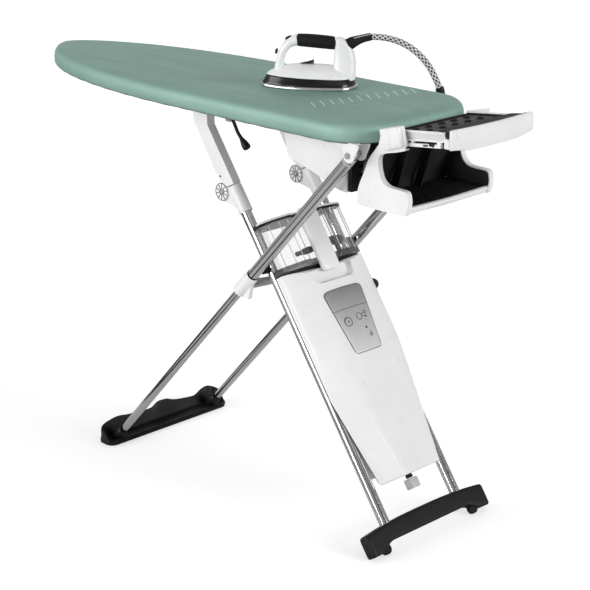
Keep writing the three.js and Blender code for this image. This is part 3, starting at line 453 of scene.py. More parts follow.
def frames_along(path):
    """A side and an up direction at each point of a path, without twist."""
    tangents = []
    for i in range(len(path)):
        tangents.append((path[min(i + 1, len(path) - 1)] - path[max(i - 1, 0)]).normalized())
    start = Vector((0, 0, 1)) if abs(tangents[0].z) < 0.9 else Vector((1, 0, 0))
    side = start.cross(tangents[0]).normalized()
    result = []
    for tangent in tangents:
        side = (side - tangent * side.dot(tangent)).normalized()
        result.append((side, tangent.cross(side)))
    return result


def tube(path, radius, sides=24):
    """A round tube along a path. radius is one number or one for each point."""
    radii = radius if isinstance(radius, (list, tuple)) else [radius] * len(path)
    rings = []
    for (side, up), point, r in zip(frames_along(path), path, radii):
        rings.append([point + (side * math.cos(a) + up * math.sin(a)) * r * MM for a in turns(sides)])
    return skin(rings)


def turned_rings(start, end, profile, sides):
    """Rings round the axis from start to end, one for each of the profile's rows."""
    axis = (end - start).normalized()
    side = axis.orthogonal().normalized()
    up = axis.cross(side)
    rings = []
    for h, r in profile:
        middle = start + axis * h * MM
        rings.append([middle + (side * math.cos(a) + up * math.sin(a)) * r * MM for a in turns(sides)])
    return rings


def spun(start, end, profile, sides=32):
    """A turned shape: the profile's rows are (millimetres from start towards end, radius)."""
    return skin(turned_rings(start, end, profile, sides))


def hollow_tube(start, end, outer, inner, sides=40):
    """A tube with an open bore."""
    length = (end - start).length / MM
    edge = 0.3
    profile = [(0, inner), (0, outer - edge), (edge, outer), (length - edge, outer), (length, outer - edge),
               (length, inner)]
    return closed_band(turned_rings(start, end, profile, sides))


def rounded(points, radius, count=5):
    """A closed outline of (u, v) with each corner rounded."""
    result = []
    total = len(points)
    for i, corner in enumerate(points):
        here = Vector(corner)
        back, on = Vector(points[i - 1]) - here, Vector(points[(i + 1) % total]) - here
        size = radius[i] if isinstance(radius, (list, tuple)) else radius
        reach = min(size, back.length * 0.48, on.length * 0.48)
        enter, leave = here + back.normalized() * reach, here + on.normalized() * reach
        for t in steps(0, 1, count):
            result.append((enter * (1 - t) ** 2 + here * 2 * t * (1 - t) + leave * t * t).to_tuple())
    return result


def prism(outline, place, low, high):
    """An outline of (u, v) pushed from low to high; place(u, v, w) gives each point."""
    count = len(outline)
    verts = [place(u, v, w) for w in (low, high) for u, v in outline]
    faces = [(i, (i + 1) % count, count + (i + 1) % count, count + i) for i in range(count)]
    triangles = geometry.tessellate_polygon([[Vector((u, v, 0)) for u, v in outline]])
    for a, b, c in triangles:
        faces.append((a, b, c))
        faces.append((count + a, count + b, count + c))
    return verts, faces


def block(place, x0, x1, y0, y1, z0, z1):
    """A box whose corners are place(x, y, z)."""
    return prism([(x0, y0), (x1, y0), (x1, y1), (x0, y1)], place, z0, z1)


def screw(at, out, radius=3.4, name="screw", body="board", slot="steel"):
    """A pan-head screw with a cross recess that faces along out."""
    out = out.normalized()
    head = spun(at - out * 0.4 * MM, at + out,
                [(0, radius), (1.2, radius), (2.0, radius * 0.85), (2.4, radius * 0.5)], 20)
    side = out.orthogonal().normalized()
    up = out.cross(side)
    # The cross recess is a dark cross on the head: painted shade in the recess.
    long, thin = 0.62 * radius, 0.4
    bar = [(-long, -thin), (long, -thin), (long, thin), (-long, thin)]
    recess_shade_bars = []
    for a, b in ((side, up), (up, side)):
        recess_shade_bars.append(prism(bar, lambda u, v, w: at + (a * u + b * v + out * w) * MM, 1.5, 2.15))
    build(name, *head, "steel", body, slot)
    build(f"{name}_recess", *together(*recess_shade_bars), "ink", body, slot)


# ---- Stage, light and camera ------------------------------------------------------------------------
FLOOR_REACH, CARD_Z = 30.0, 0.002
CARDS = ((-7.0, -4.0, -1.9, 4.0), (-2.0, -0.66, 2.0, -0.44), (-1.7, -1.6, -1.3, 1.0))
SKY = (  # height up the world and its grey: a pale sky over a darker belt
    (0.0, 0.35), (0.5, 0.40), (0.53, 0.06), (0.57, 0.05), (0.60, 0.80), (0.71, 0.85), (0.75, 0.12),
       (0.85, 0.10),
    (0.90, 0.42), (1.0, 0.34),
)


def flat_sheet(name, x0, y0, x1, y1, z):
    """A mesh of one level rectangle."""
    mesh = bpy.data.meshes.new(name)
    mesh.from_pydata([(x0, y0, z), (x1, y0, z), (x1, y1, z), (x0, y1, z)], [], [(0, 1, 2, 3)])
    return mesh


def make_stage():
    floor = flat_sheet("floor", -FLOOR_REACH, -FLOOR_REACH, FLOOR_REACH, FLOOR_REACH, 0)
    pale = Looks("pale_floor", Roughness=0.9, Specular_IOR_Level=0.1)
    pale.link(pale.ramp(pale.noise(0.4, 2.0), (0.80, 0.80, 0.80), (0.82, 0.82, 0.82)), "Base Color")
    # The floor glows a little to the camera only, so that it stays pale without lighting the object.
    seen_floor = pale.make("ShaderNodeLightPath").outputs["Is Camera Ray"]
    pale.link(pale.math("MULTIPLY", seen_floor, 0.5), "Emission Strength")
    floor.materials.append(pale.material)
    ground = bpy.data.objects.new("floor", floor)
    ground.location.z = -0.0005
    bpy.context.scene.collection.objects.link(ground)

    # Dark cards that only glossy rays see give the tubes their streaks.
    for i, corners in enumerate(CARDS):
        sheet = flat_sheet(f"card_{i}", *corners, CARD_Z)
        dark = Looks(f"dark_card_{i}", Roughness=0.9, Specular_IOR_Level=0.1)
        dark.link(dark.ramp(dark.noise(0.4, 2.0), (0.02, 0.02, 0.02), (0.03, 0.03, 0.03)), "Base Color")
        sheet.materials.append(dark.material)
        card = bpy.data.objects.new(f"card_{i}", sheet)
        card.visible_camera = card.visible_diffuse = card.visible_shadow = card.visible_transmission = False
        bpy.context.scene.collection.objects.link(card)

    # The world lights the object with SKY, and shows itself white.
    world = bpy.data.worlds.new("studio")
    bpy.context.scene.world = world
    world.use_nodes = True
    tree = world.node_tree
    links, nodes = tree.links, tree.nodes
    coords = nodes.new("ShaderNodeTexCoord")
    split = nodes.new("ShaderNodeSeparateXYZ")
    links.new(coords.outputs["Generated"], split.inputs[0])
    sky = nodes.new("ShaderNodeValToRGB")
    ramp = sky.color_ramp.elements
    ramp.remove(ramp[-1])
    for place, tone in SKY:
        element = ramp.new(place) if place else ramp[0]
        element.color = (tone, tone, tone * 1.01, 1)
    links.new(split.outputs[2], sky.inputs[0])
    path = nodes.new("ShaderNodeLightPath")
    seen = nodes.new("ShaderNodeMix")
    seen.data_type = "RGBA"
    links.new(path.outputs["Is Camera Ray"], seen.inputs["Factor"])
    links.new(sky.outputs[0], seen.inputs[6])
    seen.inputs[7].default_value = (1.0, 1.0, 1.0, 1)
    links.new(seen.outputs[2], nodes["Background"].inputs["Color"])
    nodes["Background"].inputs["Strength"].default_value = 1.0

    suns = (  # name, the way it shines, strength, apparent size in degrees
        ("key", (0.50, 0.85, -0.12), 2.0, 44),
        ("front", (-0.88, -0.25, -0.28), 1.7, 30),
        ("fill", (-0.05, 0.97, -0.15), 0.7, 12),
        ("back", (0.6, -0.7, -0.4), 0.3, 60),
    )
    for name, way, strength, size in suns:
        data = bpy.data.lights.new(name, "SUN")
        data.energy, data.angle = strength, math.radians(size)
        lamp = bpy.data.objects.new(name, data)
        lamp.rotation_euler = Vector(way).to_track_quat("-Z", "Y").to_euler()
        bpy.context.scene.collection.objects.link(lamp)

    data = bpy.data.cameras.new("camera")
    data.lens, data.sensor_width = 104.41, 36
    camera = bpy.data.objects.new("camera", data)
    camera.location = (2.8847, -2.7228, 1.7601)
    camera.rotation_euler = (math.radians(71.611), 0, math.radians(45.236))
    bpy.context.scene.collection.objects.link(camera)
    bpy.context.scene.camera = camera
    bpy.context.scene.view_settings.view_transform = "Standard"


# ---- Steam hose -------------------------------------------------------------------------------------
HOSE_ROUTE = [
    (323.6, 118.8, 1092), (336, 129.5, 1092.2), (349, 140.6, 1090.6), (362, 151.8, 1087),
              (375, 163.2, 1081.2),
    (388, 174.7, 1072.6), (401, 186.3, 1060.4), (413, 197.2, 1045.4), (424, 207.2, 1027.4),
    (434, 216, 1004), (441, 221.8, 985), (445.2, 224.6, 972), (447.4, 225.8, 958), (448, 226, 945),
    (448, 226, 925), (448, 226, 900), (448, 225, 860), (448, 223, 820), (448, 220, 785),
    (444.5, 216, 751), (432, 212, 730), (411, 208, 714), (384, 204.5, 708), (357, 201, 714), (336, 198, 730),
    (323.5, 195.5, 751), (320, 194, 785), (320, 193.2, 820), (320, 193, 850), (320, 193, 875),
              (320, 193, 895.7),
]


COLLAR_SPAN = (84, 100)  # which of the smoothed route's points it covers


def smooth_route(points, per_span):
    """Centripetal Catmull-Rom through the points."""
    route = []
    ends = [points[0] * 2 - points[1], *points, points[-1] * 2 - points[-2]]
    for i in range(1, len(ends) - 2):
        p = ends[i - 1 : i + 3]
        knot = [0.0]
        for a, b in zip(p, p[1:]):
            knot.append(knot[-1] + math.sqrt((b - a).length))
        for j in range(per_span):
            t = mix(knot[1], knot[2], j / per_span)
            level = [p[k].lerp(p[k + 1], (t - knot[k]) / (knot[k + 1] - knot[k])) for k in range(3)]
            level = [level[k].lerp(level[k + 1], (t - knot[k]) / (knot[k + 2] - knot[k])) for k in range(2)]
            route.append(level[0].lerp(level[1], (t - knot[1]) / (knot[2] - knot[1])))
    route.append(points[-1])
    return route


def make_hose():
    path = smooth_route([on_board(*p) for p in HOSE_ROUTE], 8)
    sides = 20
    verts, faces = tube(path, HOSE_R, sides)
    hose = build("hose", verts, faces, "braid", None, "rubber", weld=1e-9)
    along = [0.0]
    for a, b in zip(path, path[1:]):
        along.append(along[-1] + (b - a).length)
    layer = hose.data.uv_layers.new(name="hose")
    for polygon in hose.data.polygons:
        turns = [(v % sides) / sides if v < len(path) * sides else 0.0 for v in polygon.vertices]
        wraps = max(turns) - min(turns) > 0.5
        for loop, v, turn in zip(polygon.loop_indices, polygon.vertices, turns):
            ring = min(v // sides, len(path) - 1)
            layer.data[loop].uv = (along[ring], turn + 1 if wraps and turn < 0.5 else turn)
    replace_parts(hose, "steam_hose")
    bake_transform(hose)

    guide = refined("hose_guide", "black", 0.8)
    refined("hose_port", "black", 0.8)
    # A rigid black collar holds the hose where it dips behind the far edge.
    first, last = COLLAR_SPAN
    collar = tube(path[first:last], [9.2] + [9.9] * (last - first - 2) + [9.2], 24)
    collar = build("hose_collar", *collar, "black", "board", "black_plastic")



# ---- Cover ------------------------------------------------------------------------------------------
NOSE_X, TAPER_X, HEEL_X, HALF_WIDTH, CORNER = -668, 13, 595, 205, 115
PLEATS, FINE_PLEATS, PLEAT_DRIFTS = 67, 131, 9  # round the whole hem


RAIL_LOWER_Z, RAIL_LIFT = 0.907, 0.014  # the arm rails are drawn shallower than the CAD's, in metres
PIVOT_RING_R, PIVOT_RING_Y = 0.0042, 0.1833  # the thin ring on each end of the main pivot rod, in metres


def board_outline(inset, nose_steps=64, side_steps=34, corner_steps=22):
    """Points round the board in plan, from the nose along the near side and back along the far side."""
    half = HALF_WIDTH - inset
    nose = TAPER_X - NOSE_X - inset
    corner = max(6.0, CORNER - inset)
    side = []
    for i in range(1, nose_steps + 1):
        back = math.cos(math.pi / 2 * i / nose_steps)
        side.append((TAPER_X - nose * back, half * (1 - back**2.12) ** 0.6))
    straight = HEEL_X - inset - corner
    side += [(mix(TAPER_X, straight, i / side_steps), half) for i in range(1, side_steps)]
    for i in range(corner_steps):
        a = math.pi / 2 * i / (corner_steps - 1)
        side.append((HEEL_X - inset - corner * (1 - math.sin(a)), half - corner * (1 - math.cos(a))))
    heel = [(HEEL_X - inset, y) for y in steps(half - corner, corner - half, 16)[1:-1]]
    near = [(x, -y) for x, y in side]
    return [(TAPER_X - nose, 0.0), *near, *reversed(heel), *reversed(side)]


def make_cover():
    """The padded cover: a crowned edge, a tucked hem with gathers, and faint pulls in the cloth."""
    edge = [  # (in from the outline, height), from inside the hem up over the edge
        (9.4, 946), (9.2, 938), (8.2, 934.2), (5.6, 932.6), (3.0, 932.8), (1.4, 934.8), (0.6, 938),
            (0.1, 943),
        (0, 948), (0.2, 953), (1.0, 958), (2.6, 963), (5.2, 967.6), (9, 971.6), (14, 974.8), (21, 977.2),
        (30, 978.7), (42, 979.5), (60, 979.9), (82, 980), (106, 980), (132, 980), (160, 980), (186, 980),
            (202, 980),
    ]
    rings = []
    for inset, z in edge:
        ring = []
        outline = board_outline(inset)
        total = len(outline)
        hem = smoothstep(958, 934, z)
        for i, (x, y) in enumerate(outline):
            u = i / total
            # Gathers are stronger where the outline turns: at the nose and the heel's corners.
            corners = math.exp(-(((x - 560) / 60) ** 2)) + 0.6 * math.exp(-(((x + 640) / 70) ** 2))
            pleat = math.sin(u * 2 * math.pi * PLEATS + 3 * math.sin(u * 2 * math.pi * PLEAT_DRIFTS))
            pleat += 0.6 * math.sin(u * 2 * math.pi * FINE_PLEATS + 1.7)
            depth = hem * (0.45 + 2.4 * corners) * pleat * (0.55 if inset < 9 else 0.2)
            ripple = noise.noise(Vector((x * 0.012, y * 0.03, z * 0.02))) * 0.7
            out = Vector((x - 200 if x > 200 else 0,
                          y * 1.4)).normalized() if x > -560 else Vector((x, y)).normalized()
            lift = noise.noise(Vector((x * 0.006, y * 0.014, 4.2))) * 0.5 if z > 979 else 0
            swell = depth + (ripple if 940 < z < 976 else 0) - 0.6
            ring.append(on_board(x + out.x * swell, y + out.y * swell, z + lift + depth * 0.25))
        rings.append(ring)
    verts, faces = skin(rings, caps=False)
    count, last = len(rings[0]), (len(rings) - 1) * len(rings[0])
    # The last ring is a thin sliver along the middle, which is sewn shut across it.
    for i in range(count // 2):
        a, b = i, (count - i) % count
        c, d = i + 1, (count - i - 1) % count
        faces.append((last + a, last + c, last + d, last + b) if a != b else (last + a, last + c, last + d))
    # Inside, the cover's lining closes the form over the deck.
    for i in range(count // 2):
        a, b = i, (count - i) % count
        c, d = i + 1, (count - i - 1) % count
        faces.append((a, b, d, c) if a != b else (a, d, c))
    cover = for_node("cover_and_pad", "cover", verts, faces, "cover", 60)

    # A thin dark line just under the hem is a painted shadow below the cover's edge.
    line = []
    for i, (x, y) in enumerate(board_outline(6.4)):
        line.append(on_board(x, y, 932.0 + 0.4 * math.sin(i * 1.3)))
    line.append(line[0].copy())
    build("cover_hem_shadow_line", *tube(line, 1.3, 8), "ink", "board", "cover")


def make_underside():
    """The deck, the ribbed pan below it, the rails, the bridge, the pivot rod and the lever's bracket."""
    refined("deck_plate", "steel", 0.4)
    refined("underside_pan", "steel", 0.3)
    ribs = []
    for y in (-62, 0, 62):
        for x0, x1 in ((-520, -330), (-270, 120), (150, 330)):
            if abs(y) < 70 or x0 > -400:
                rise = [(0, 0.2), (6, 3.2), (12, 4.2)]
                ends = [(x0 + h, r) for h, r in rise] + [(x1 - h, r) for h, r in reversed(rise)]
                rings = []
                for x, r in ends:
                    arc = [math.pi * i / 8 for i in range(9)]
                    rings.append([on_board(x, y + r * 1.8 * math.cos(a),
                                           938.4 - r * math.sin(a)) for a in arc])
                ribs.append(skin(rings))
    build("pan_ribs", *together(*ribs), "steel", "board", "steel")
    screws = [(-600, 0), (-480, -90), (-480, 90), (-300, -165), (-300, 165), (0, -180), (0, 180), (230, -180),
              (230, 180), (560, -90), (560, 90), (560, 0)]
    heads = [spun(on_board(x, y, 938.2), on_board(x, y, 930), [(0, 4.2), (1.2, 4.2), (2.2, 3.2), (2.6, 1.6)],
                  16)
             for x, y in screws]
    build("pan_screws", *together(*heads), "steel", "board", "steel")
    for side in SIDES:
        rail = refined(f"arm_rail_{side}", "steel", 0.6)
        for vertex in rail.data.vertices:
            if vertex.co.z < RAIL_LOWER_Z:
                vertex.co.z += RAIL_LIFT
    refined("rear_bridge", "white", 1.0)
    refined("main_pivot_rod", "steel", 0.8)
    points = [v.co for v in frame["nodes"]["main_pivot_rod"].data.vertices]
    middle = sum(points, Vector()) / len(points)
    rings = []
    for sign in (-1, 1):
        circle = []
        for a in steps(0, 2 * math.pi, 29):
            out = (PIVOT_RING_R * math.cos(a), PIVOT_RING_R * math.sin(a))
            circle.append(Vector((middle.x + out[0], sign * PIVOT_RING_Y, middle.z + out[1])))
        rings.append(tube(circle, 0.8, 8))
    build("pivot_rings", *together(*rings), "ink", "board", "steel")
    refined("lever_bracket", "steel", 0.6)


# ---- Iron -------------------------------------------------------------------------------------------
def sole_point(t):
    """The soleplate's half-width, as a share of the widest, at share t of its length."""
    half = min(1.0, 1 - (1 - min(1.0, t / 0.62)) ** 1.9) ** 0.62 if t > 0 else 0.0
    heel = math.sqrt(max(0.0, 1 - max(0.0, (t - 0.72) / 0.28) ** 2.6))
    return half * heel


def sole_ring(front, rear, half, h_front, h_rear=None, count=44):
    """A ring of the iron's plan from its front to its rear, with its height running between the two."""
    h_rear = h_front if h_rear is None else h_rear
    side = []
    for i in range(1, count):
        t = (1 - math.cos(math.pi * i / count)) / 2
        side.append((t, sole_point(t) * half))
    ends = [(0.0, 0.0), *[(t, -w) for t, w in side], (1.0, 0.0), *reversed(side)]
    return [on_iron(mix(front, rear, t), w, mix(h_front, h_rear, t)) for t, w in ends]


POST_POWER = 0.62  # how boxy the rear post's section is


def make_iron():
    plate = [(3.5, 218.5, 55, 0.3), (1.2, 220.8, 57, 0.7), (0.3, 221.8, 57.9, 1.8), (0, 222, 58, 3.2),
             (0.3, 221.8, 57.8, 5.4), (1.4, 220.8, 56.8, 7.2), (2.6, 219.6, 55.8, 8.0)]
    for_node("iron_soleplate", "soleplate", *skin([sole_ring(*row) for row in plate]), "sole", 50)
    # Dark discs on the soleplate are painted shade where the steam holes are.
    holes = []
    for row, (s, half) in enumerate(((44, 16), (66, 26), (88, 33), (112, 37), (140, 39))):
        for w in steps(-half, half, 3 + row):
            back = s + abs(w) * 0.35
            holes.append(spun(on_iron(back, w, 0.55), on_iron(back, w, 0.1), [(0, 1.6), (0.35, 1.6)], 12))
    build("steam_hole_shade", *together(*holes), "ink", "iron", "chrome")
    band = [(3.4, 219, 55, 8.3), (3.6, 218.8, 54.8, 9.2), (5.4, 217.8, 53.6, 12.5),
            (7.6, 216.4, 52.2, 16, 15.5),
            (10.2, 214.8, 50.6, 20.5, 18.5), (12.6, 213.2, 49.2, 25, 21.6), (13.6, 212.4, 48.4, 27, 22.9),
            (15.2, 211.4, 47.2, 27.6, 23.4)]
    for_node("iron_band", "iron_band_look", *skin([sole_ring(*row) for row in band]), "gloss", 45)
    dome = [(14.2, 212, 48.2, 27.7, 23.5), (13.6, 212.6, 48.8, 28.6, 24.4), (14.6, 212.2, 48.2, 30.2, 26),
            (18, 211, 46.4, 33.4, 28.6), (24, 208, 43.4, 37.2, 31.8), (32, 203, 39.2, 41.2, 35.4),
            (41, 197, 34.2, 45, 39), (51, 190, 28.4, 48.2, 42.4), (61, 182, 22, 50.6, 45.4),
            (71, 173, 15, 52.2, 48), (81, 163, 8, 53.1, 50.2), (92, 150, 3, 53.5, 52)]
    for_node("iron_body", "iron_body_look", *skin([sole_ring(*row) for row in dome]), "white", 45)

    # The handle's front post bends back into the grip.
    post = [(42, 30, 13.5, 16.5), (42.6, 38, 11.6, 15.2), (43.6, 50, 10.2, 13.6), (46, 64, 9.3, 12.8),
            (50, 77, 9.0, 12.4),
            (55.6, 88, 9.4, 12.4), (63, 97, 10.4, 12.6), (72, 102.8, 11.8, 12.9), (79, 105.3, 12.6, 13.2),
            (84.2, 106.2, 13.2, 13.6)]
    rings = []
    for i, (s, h, thick, wide) in enumerate(post):
        way = heading(post, i)
        ring = []
        for a in turns(28):
            across, over = wide * math.cos(a), thick * math.sin(a)
            ring.append(on_iron(s - way.y * over, across, h + way.x * over))
        rings.append(ring)
    front = skin(rings)
    rear_rows = [(20, 163, 216.4, 30), (26, 164, 217, 30), (34, 165.2, 217.4, 28), (45, 166, 217.6, 25.5),
                 (58, 166.8, 217.2, 22.8),
                 (70, 167.6, 215.8, 20.6), (82, 168.4, 212.4, 19), (92, 169.2, 207.4, 18),
                 (100, 170, 201.6, 17.2),
                 (106, 170.6, 196, 16.2), (110, 171.4, 190.6, 14.8), (112.8, 173.4, 185.4, 12),
                 (113.9, 176, 181.6, 8)]
    rings = []
    for h, s0, s1, wide in rear_rows:
        ring = []
        for a in turns(36):
            s = (s0 + s1) / 2 + (s1 - s0) / 2 * squared(math.cos(a), POST_POWER)
            ring.append(on_iron(s, wide * squared(math.sin(a), POST_POWER), h))
        rings.append(ring)
    for_node("iron_handle", "iron_handle_look", *together(front, skin(rings)), "white", 50)

    grip = [(84.4, 106.4, 12.6, 12.6), (85.2, 106.4, 14.4, 13.8), (90, 106.2, 15.2, 14.4),
            (105, 105.6, 15.9, 15.0),
            (125, 104.3, 16.2, 15.4), (145, 102.6, 16.1, 15.4), (162, 101, 15.7, 15.2),
            (168.6, 100.4, 15.2, 14.6), (169.4, 100.3, 13.4, 13)]
    rings = []
    for s, h, wide, tall in grip:
        rings.append([on_iron(s, wide * math.cos(a), h + tall * math.sin(a)) for a in turns(36)])
    for_node("iron_grip", "iron_grip_look", *skin(rings), "rubber", 50)
    # Fine raised lines round the grip's underside, where the fingers hold it.
    lines = []
    for s in steps(96, 158, 12):
        h, wide, tall = along_table(grip, s)
        arc = [math.radians(v) for v in steps(200, 340, 15)]
        lines.append(tube([on_iron(s, (wide + 0.1) * math.cos(a),
                                   h + (tall + 0.1) * math.sin(a)) for a in arc], 0.6, 6))
    build("grip_lines", *together(*lines), "rubber", "iron", "black_plastic")

    button = []
    tilt = math.radians(24)
    c, k = math.cos(tilt), math.sin(tilt)
    for share, rise in ((1.0, -2.5), (1.0, 0.9), (0.93, 2.2), (0.72, 3.1), (0.4, 3.7), (0.1, 3.9)):
        ring = []
        for a in turns(28):
            u, v = 8.4 * share * math.cos(a), 4.9 * share * math.sin(a)
            ring.append(on_iron(64 + u * c - rise * k, v, 111.2 + u * k + rise * c))
        button.append(ring)
    for_node("steam_button", "steam_button_look", *skin(button), "gloss", 50)
    refined("steam_trigger", "gloss", 0.0, smooth=60)

    # The sliding steam control on the base, a black boat shape with a short tail.
    boat = []
    for s, wide, rise in (
        (88, 0.6, 0.6), (93, 5.0, 2.6), (100, 8.4, 4.0), (107, 9.4, 5.4), (114, 8.0, 7.4), (119, 5.0, 9.4),
                          (122, 1.2, 10.2),
    ):
        boat.append([on_iron(s, wide * math.cos(a),
                             53.2 + rise * (0.5 + 0.5 * math.sin(a)) - 0.8) for a in turns(16)])
    build("steam_slider", *skin(boat), "gloss", "iron", "black_plastic", 50)

    # Strain relief: a rubber wedge out of the rear post that tapers on to the hose.
    start, bend, end = on_iron(199, 0, 96), on_iron(218, 0, 110), on_board(*HOSE_ROUTE[0])
    path = []
    for t in steps(0, 1, 26):
        path.append(start * (1 - t) ** 2 + bend * 2 * t * (1 - t) + end * t * t)
    ahead = (path[-1] - path[-2]).normalized()
    path[-1] = path[-1] - ahead * 0.2 * MM
    radii = []
    for i, t in enumerate(steps(0, 1, 26)):
        ridge = 0.5 if i % 3 == 1 and 6 < i < 22 else 0
        radii.append(mix(14.0, 9.1, smoothstep(0, 0.85, t)) + ridge)
    for_node("strain_relief", "strain_relief_look", *tube(path, radii, 28), "rubber", 40)
    dots = []
    for (side, up), point, r in list(zip(frames_along(path), path, radii))[9:25]:
        for turn in (-0.9, -0.3):
            out = (up * math.cos(turn) + side * math.sin(turn)) * (1 if up.z > 0 else -1)
            start, end = point + out * (r - 0.3) * MM, point + out * (r + 0.6) * MM
            dots.append(spun(start, end, [(0, 1.15), (0.6, 1.15), (0.9, 0.6)], 8))
    build("relief_stitches", *together(*dots), "stitch", "iron", "rubber")


# ---- Steam generator --------------------------------------------------------------------------------
GEN_BOTTOM, GEN_TOP, SIDE_N, CROWN_N, WALL_N = 150, 674, 28, 61, 14
KNOB_S = 594
PANEL_BOTTOM, PANEL_TOP, PANEL_HALVES = 446, 602, (42, 62.5)
BUTTON_Y, BUTTON_S = -26, 522
POCKET_HALF, POCKET_FOOT, POCKET_N = 62, 628, 43.4  # the pocket behind the tank's handle


def facet_half(s):
    """Half the width, at the side wall, of the flat facets that run down the cover's sides."""
    return 99 + 0.16 * (s - GEN_BOTTOM)


def gen_half(s):
    return min(134, facet_half(s))


def gen_front(y, s):
    """How far the cover's front stands out of the tubes' plane: a crown cut by the two facets."""
    power = mix(4.5, 2.4, smoothstep(GEN_BOTTOM, 520, s))
    k = min(1.0, abs(y) / gen_half(s))
    crown = SIDE_N + (CROWN_N - SIDE_N) * (1 - k**power) ** 0.62
    facet = WALL_N + 1.2 * (facet_half(s) - abs(y))
    soft = mix(1.5, 9, smoothstep(GEN_BOTTOM, 440, s))
    gap = max(0.0, 1 - abs(crown - facet) / soft)
    return max(WALL_N, min(crown, facet) - gap * gap * soft / 4)


def on_cover(y, s, lift):
    return on_a(gen_front(y, s) + lift, y, s)


def pocket_depth(y, s):
    """From 0 outside to 1 inside the pocket behind the tank's handle."""
    corner = 18
    across = abs(y) - (POCKET_HALF + (s - POCKET_FOOT) * 0.055) + corner
    down = POCKET_FOOT - s + corner
    away = math.hypot(max(across, 0), max(down, 0)) + min(max(across, down), 0) - corner
    return smoothstep(2.2, -3.6, away)


def make_generator():
    # Finer steps follow the facets' edges, the rounded bottom edge and the pocket's foot.
    shares = sorted({*steps(-1, 1, 57), *steps(-0.40, -0.24, 21), *steps(0.24, 0.40, 21)})
    levels = sorted({*steps(GEN_BOTTOM, 156, 6), *steps(156, 612, 70), *steps(612, 640, 26),
                     *steps(640, GEN_TOP, 16)})
    rings = []
    lip = 5
    for s in levels:
        below = max(0.0, GEN_BOTTOM + lip - s)
        drop = lip - math.sqrt(lip**2 - below**2)
        edge = 1.2 * smoothstep(GEN_TOP - 2.5, GEN_TOP, s)
        half = gen_half(s) - 0.6 * drop
        ring = []
        for share in shares:
            y = half * math.sin(math.pi / 2 * share)
            dip = 14 * (1 - smoothstep(50, 140, abs(y))) * smoothstep(645, GEN_TOP, s)
            n = mix(gen_front(y, s), POCKET_N, pocket_depth(y, s - dip) if s > 600 else 0)
            ring.append(on_a(max(WALL_N + 0.5, n - drop - edge), y, s - dip))
        ring += [on_a(WALL_N, half, s), on_a(WALL_N, 0, s), on_a(WALL_N, -half, s)]
        rings.append(ring)
    for_node("generator_front_cover", "generator_cover", *skin(rings), "white", 46)
    refined("generator_rear_housing", "pale", 2.5, 3)
    refined("boiler", "steel", 0.8)
    # The vent slots are dark flat shapes on the housing: painted shade in the openings.
    slots = []
    for i in range(9):
        s = 430 + i * 13
        outline = rounded([(-46, s), (46, s), (46, s + 5), (-46, s + 5)], 2.4)
        slots.append(prism(outline, lambda u, v, w: on_a(w, u, v), -62.5, -61.5))
    build("housing_vent_shade", *together(*slots), "ink", "frame_a", "grey_plastic")
    for name, sign in SIDES.items():
        line = [on_a(WALL_N - 0.2, sign * (gen_half(s) - 0.2), s) for s in steps(158, GEN_TOP - 1, 60)]
        build(f"cover_seam_{name}", *tube(line, 0.8, 6), "ink", "frame_a", "grey_plastic")
    for i, (y, s) in enumerate(((-52, 300), (52, 300), (-52, 620), (52, 620))):
        screw(on_a(-61.6, y, s), on_a(-80, y, s) - on_a(-61, y, s), 4.2, f"housing_screw_{i}", "frame_a",
              "grey_plastic")
    # The dark seat that the tank stands in shows above the cover's dipped edge.
    seat = []
    for s, inset in ((640, 7), (640, 5), (676, 5), (676.6, 6)):
        seat.append([on_a(min(n, 42) if abs(y) < 76 else n, y, s) for n, y in tank_plan(inset)])
    build("tank_seat", *skin(seat), "black", "frame_a", "grey_plastic", 40)

    neck = spun(on_a(0, 8, 176), on_a(0, 8, 140),
                [(0, 8.2), (20, 8.4), (21, 7.6), (27, 7.6), (28, 8.6), (34, 8.6), (35, 7.4)], 28)
    build("drain_neck", *neck, "black", "frame_a", "grey_plastic")
    refined("drain_cap", "grey", 1.4, 3)
    refined("power_knob", "steel", 0.9)
    collar = spun(on_a(27, 134.2, KNOB_S), on_a(27, 145, KNOB_S),
                  [(0, 13.5), (1.4, 13.5), (2.0, 12.8), (2.0, 11.4)], 40)
    build("knob_collar", *collar, "ink", "frame_a", "white_plastic")
    make_panel()


